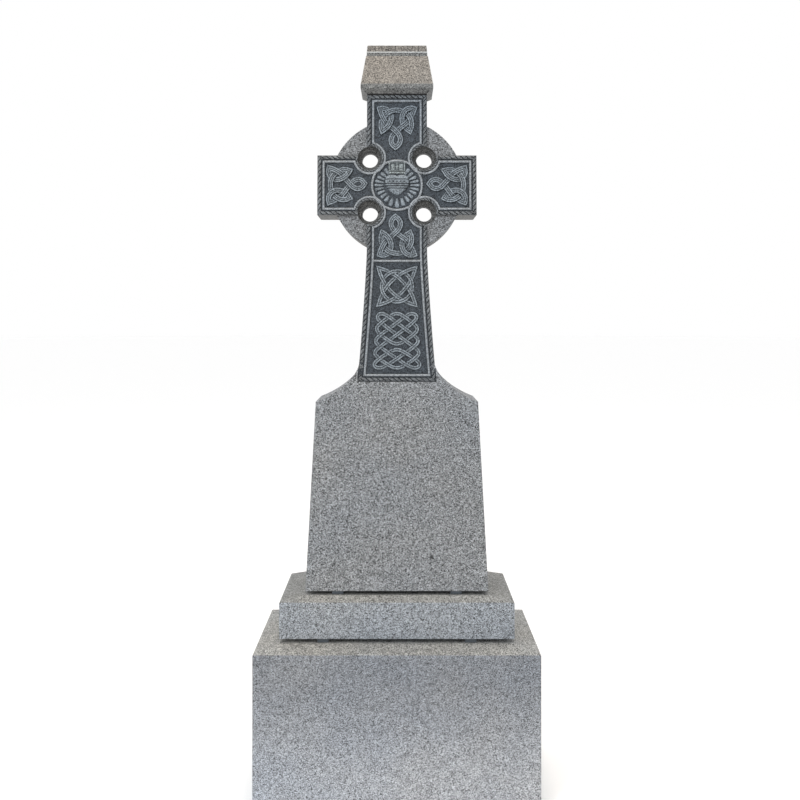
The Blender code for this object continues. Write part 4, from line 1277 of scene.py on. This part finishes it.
def heart():
    outline = heart_outline()
    count = len(outline)
    angles = np.arctan2(outline[:, 1], outline[:, 0])
    order = np.argsort(angles)
    radii = np.hypot(outline[:, 0], outline[:, 1])

    def share(flat):
        angle = np.arctan2(flat[:, 1], flat[:, 0])
        edge = np.interp(angle, angles[order], radii[order], period=2 * math.pi)
        return np.hypot(flat[:, 0], flat[:, 1]) / edge

    flat = [tuple(p) for p in outline]
    edges = [(i, (i + 1) % count) for i in range(count)]
    for shrink in HEART_RINGS:
        flat += [tuple(p) for p in outline[::2 if shrink > 0.6 else 4] * shrink]
    for line in HEART_LINES:
        for row in (-1.0, -LINE_FLOOR, LINE_FLOOR, 1.0):
            places = np.linspace(-0.5 * HEART_WIDTH, 0.5 * HEART_WIDTH, LINE_MARKS)
            marks = [(x, line + row * LINE_HALF) for x in places]
            marks = [mark for mark in marks if share(np.array([mark]))[0] < LINE_REACH]
            edges += [(len(flat) + i, len(flat) + i + 1) for i in range(len(marks) - 1)]
            flat += marks
    for place in SINKING_PLACES:
        for size in (1.0, SINKING_FLOOR):
            oval = np.array(place) + arc((0, 0), size, 0, 1.875 * math.pi, 15) * SINKING
            edges += [(len(flat) + i, len(flat) + (i + 1) % 16) for i in range(16)]
            flat += [tuple(p) for p in oval]
    corners, _, faces, _, _, _ = delaunay_2d_cdt(flat, edges, [tuple(range(count))], 1, 1e-6)
    spots = np.array([tuple(corner) for corner in corners])
    inward = np.clip((1 - share(spots)) / HEART_EDGE, 0, 1)
    foot = FIELD_SINK - HEART_FOOT
    depths = foot - (foot - HEART_CREST) * np.sqrt(1 - (1 - inward) ** HEART_FULLNESS)
    depths += LINE_SINK * np.clip((LINE_HALF - from_lines(spots)) / ((1 - LINE_FLOOR) * LINE_HALF), 0, 1)
    depths += LINE_SINK * np.clip((1 - from_sinkings(spots)) / (1 - SINKING_FLOOR), 0, 1)
    centre = np.array([0.0, CENTRE + HEART_LIFT])
    mesh = closed_behind(on_front(spots + centre, depths), faces,
                         lambda z: float(BURIED - HALF_HEAD - lean(z)))
    mesh.verts.index_update()
    points = [tuple(v.co) for v in mesh.verts]
    made = [tuple(v.index for v in f.verts) for f in mesh.faces]
    middles = np.array([f.calc_center_median() for f in mesh.faces])[:, [0, 2]] - centre
    mesh.free()
    # The engraved lines, the oval sinkings and the heart's rim take painted shade.
    dark = (from_lines(middles) < LINE_HALF) | (from_sinkings(middles) < 1) | (share(middles) > HEART_RIM)
    return points, made, [int(flag) for flag in dark]


stone_piece("heart", heart(), [heart_finish, groove_shade_finish], crease=40)

# The crown
# A low square crown stands over the heart, cut from the granite: a bar with round ends at
# its foot, a post at each side, and a small cross between two bosses under a row of studs.
CROWN_HEIGHT = 0.0385
CROWN_LIFT = 0.0385
CROWN_FACE = 0.0026
CROWN_GROUND = 0.0056
CROWN_EDGE = 0.0007
POST_WIDTH = 0.0036
FOOT_BAR_WIDTH = 0.0490
FOOT_BAR_HEIGHT = 0.0048
FOOT_BAR_END = 0.0031
CROWN_SILL = (0.0070, 0.0094)
CROWN_GAP = 0.0006
SILL_SINK = CROWN_FACE + 0.0008
STEM_DROP = 0.0010
STEM_SINK = CROWN_FACE - 0.0004
POST_SINK = CROWN_FACE - 0.0006
STEM_WIDTH = 0.0034
CROSS_ARMS = (0.0125, 0.0220, 0.0253)
BOSS_PLACE = 0.0136
BOSS = (0.0116, 0.0116, 0.0312)
BOSS_SINK = CROWN_FACE + 0.0012
BOSS_TOP = (0.0058, 0.0160, 0.0268)
STUD_RADIUS = 0.0017
STUD_DROP = 0.0030
STUD_COUNT = 7

crown_finish = granite("pale_crown", 0.235, (0.88, 1.0, 1.05), shine=0.3)
crown_ground = granite("grey_crown_ground", 0.095, (0.86, 1.0, 1.10), shine=0.25)
crown_foot = CENTRE + CROWN_LIFT


def raised_plate(outline, sink, number=0):
    """A flat plate with a sloping edge, standing on the field and sunk this far below the front."""
    outline = np.array(outline, float)
    inner = outline + CROWN_EDGE * offset_vectors(outline, True)
    rings = [on_front(outline, BURIED), on_front(outline, sink + CROWN_EDGE), on_front(inner, sink)]
    points, faces, _ = skin(rings)
    # The plate's outer wall takes painted shade (number 1).
    return points, faces, [1 if min(face) < len(outline) else number for face in faces]


def crown_plate(x, size, sink=CROWN_FACE, number=0):
    """A rectangle of the crown, its size given by its width and two heights over the foot."""
    width, low, high = size
    left = x - width / 2
    right = x + width / 2
    bottom = crown_foot + low
    top = crown_foot + high
    return raised_plate([(left, bottom), (right, bottom), (right, top), (left, top)], sink, number)


def crown_stud(x, height, radius):
    return raised_plate(arc((x, crown_foot + height), radius, 0, 1.8 * math.pi, 9), CROWN_FACE)


sill_low, sill_high = CROWN_SILL
crown_parts = [crown_plate(0.0, (CROWN_WIDTH, sill_low, CROWN_HEIGHT - CROWN_GAP), CROWN_GROUND, number=2),
               crown_plate(0.0, (FOOT_BAR_WIDTH, 0.0, FOOT_BAR_HEIGHT)),
               crown_plate(0.0, (CROWN_WIDTH, sill_low, sill_high), SILL_SINK),
               crown_plate(0.0, (STEM_WIDTH, sill_low, CROWN_HEIGHT - STEM_DROP), STEM_SINK),
               crown_plate(0.0, CROSS_ARMS)]
for side in (-1, 1):
    post_place = side * (CROWN_WIDTH - POST_WIDTH) / 2
    crown_parts += [crown_plate(post_place, (POST_WIDTH, sill_low, CROWN_HEIGHT), POST_SINK),
                    crown_plate(side * BOSS_PLACE, BOSS, BOSS_SINK),
                    crown_plate(side * BOSS_PLACE, BOSS_TOP),
                    crown_stud(side * FOOT_BAR_WIDTH / 2, FOOT_BAR_HEIGHT / 2, FOOT_BAR_END)]
for stud in range(STUD_COUNT):
    stud_place = (2 * stud / (STUD_COUNT - 1) - 1) * (CROWN_WIDTH / 2 - POST_WIDTH - 2 * STUD_RADIUS)
    crown_parts.append(crown_stud(stud_place, CROWN_HEIGHT - STUD_DROP, STUD_RADIUS))
stone_piece("crown", gather(crown_parts), [crown_finish, groove_shade_finish, crown_ground])
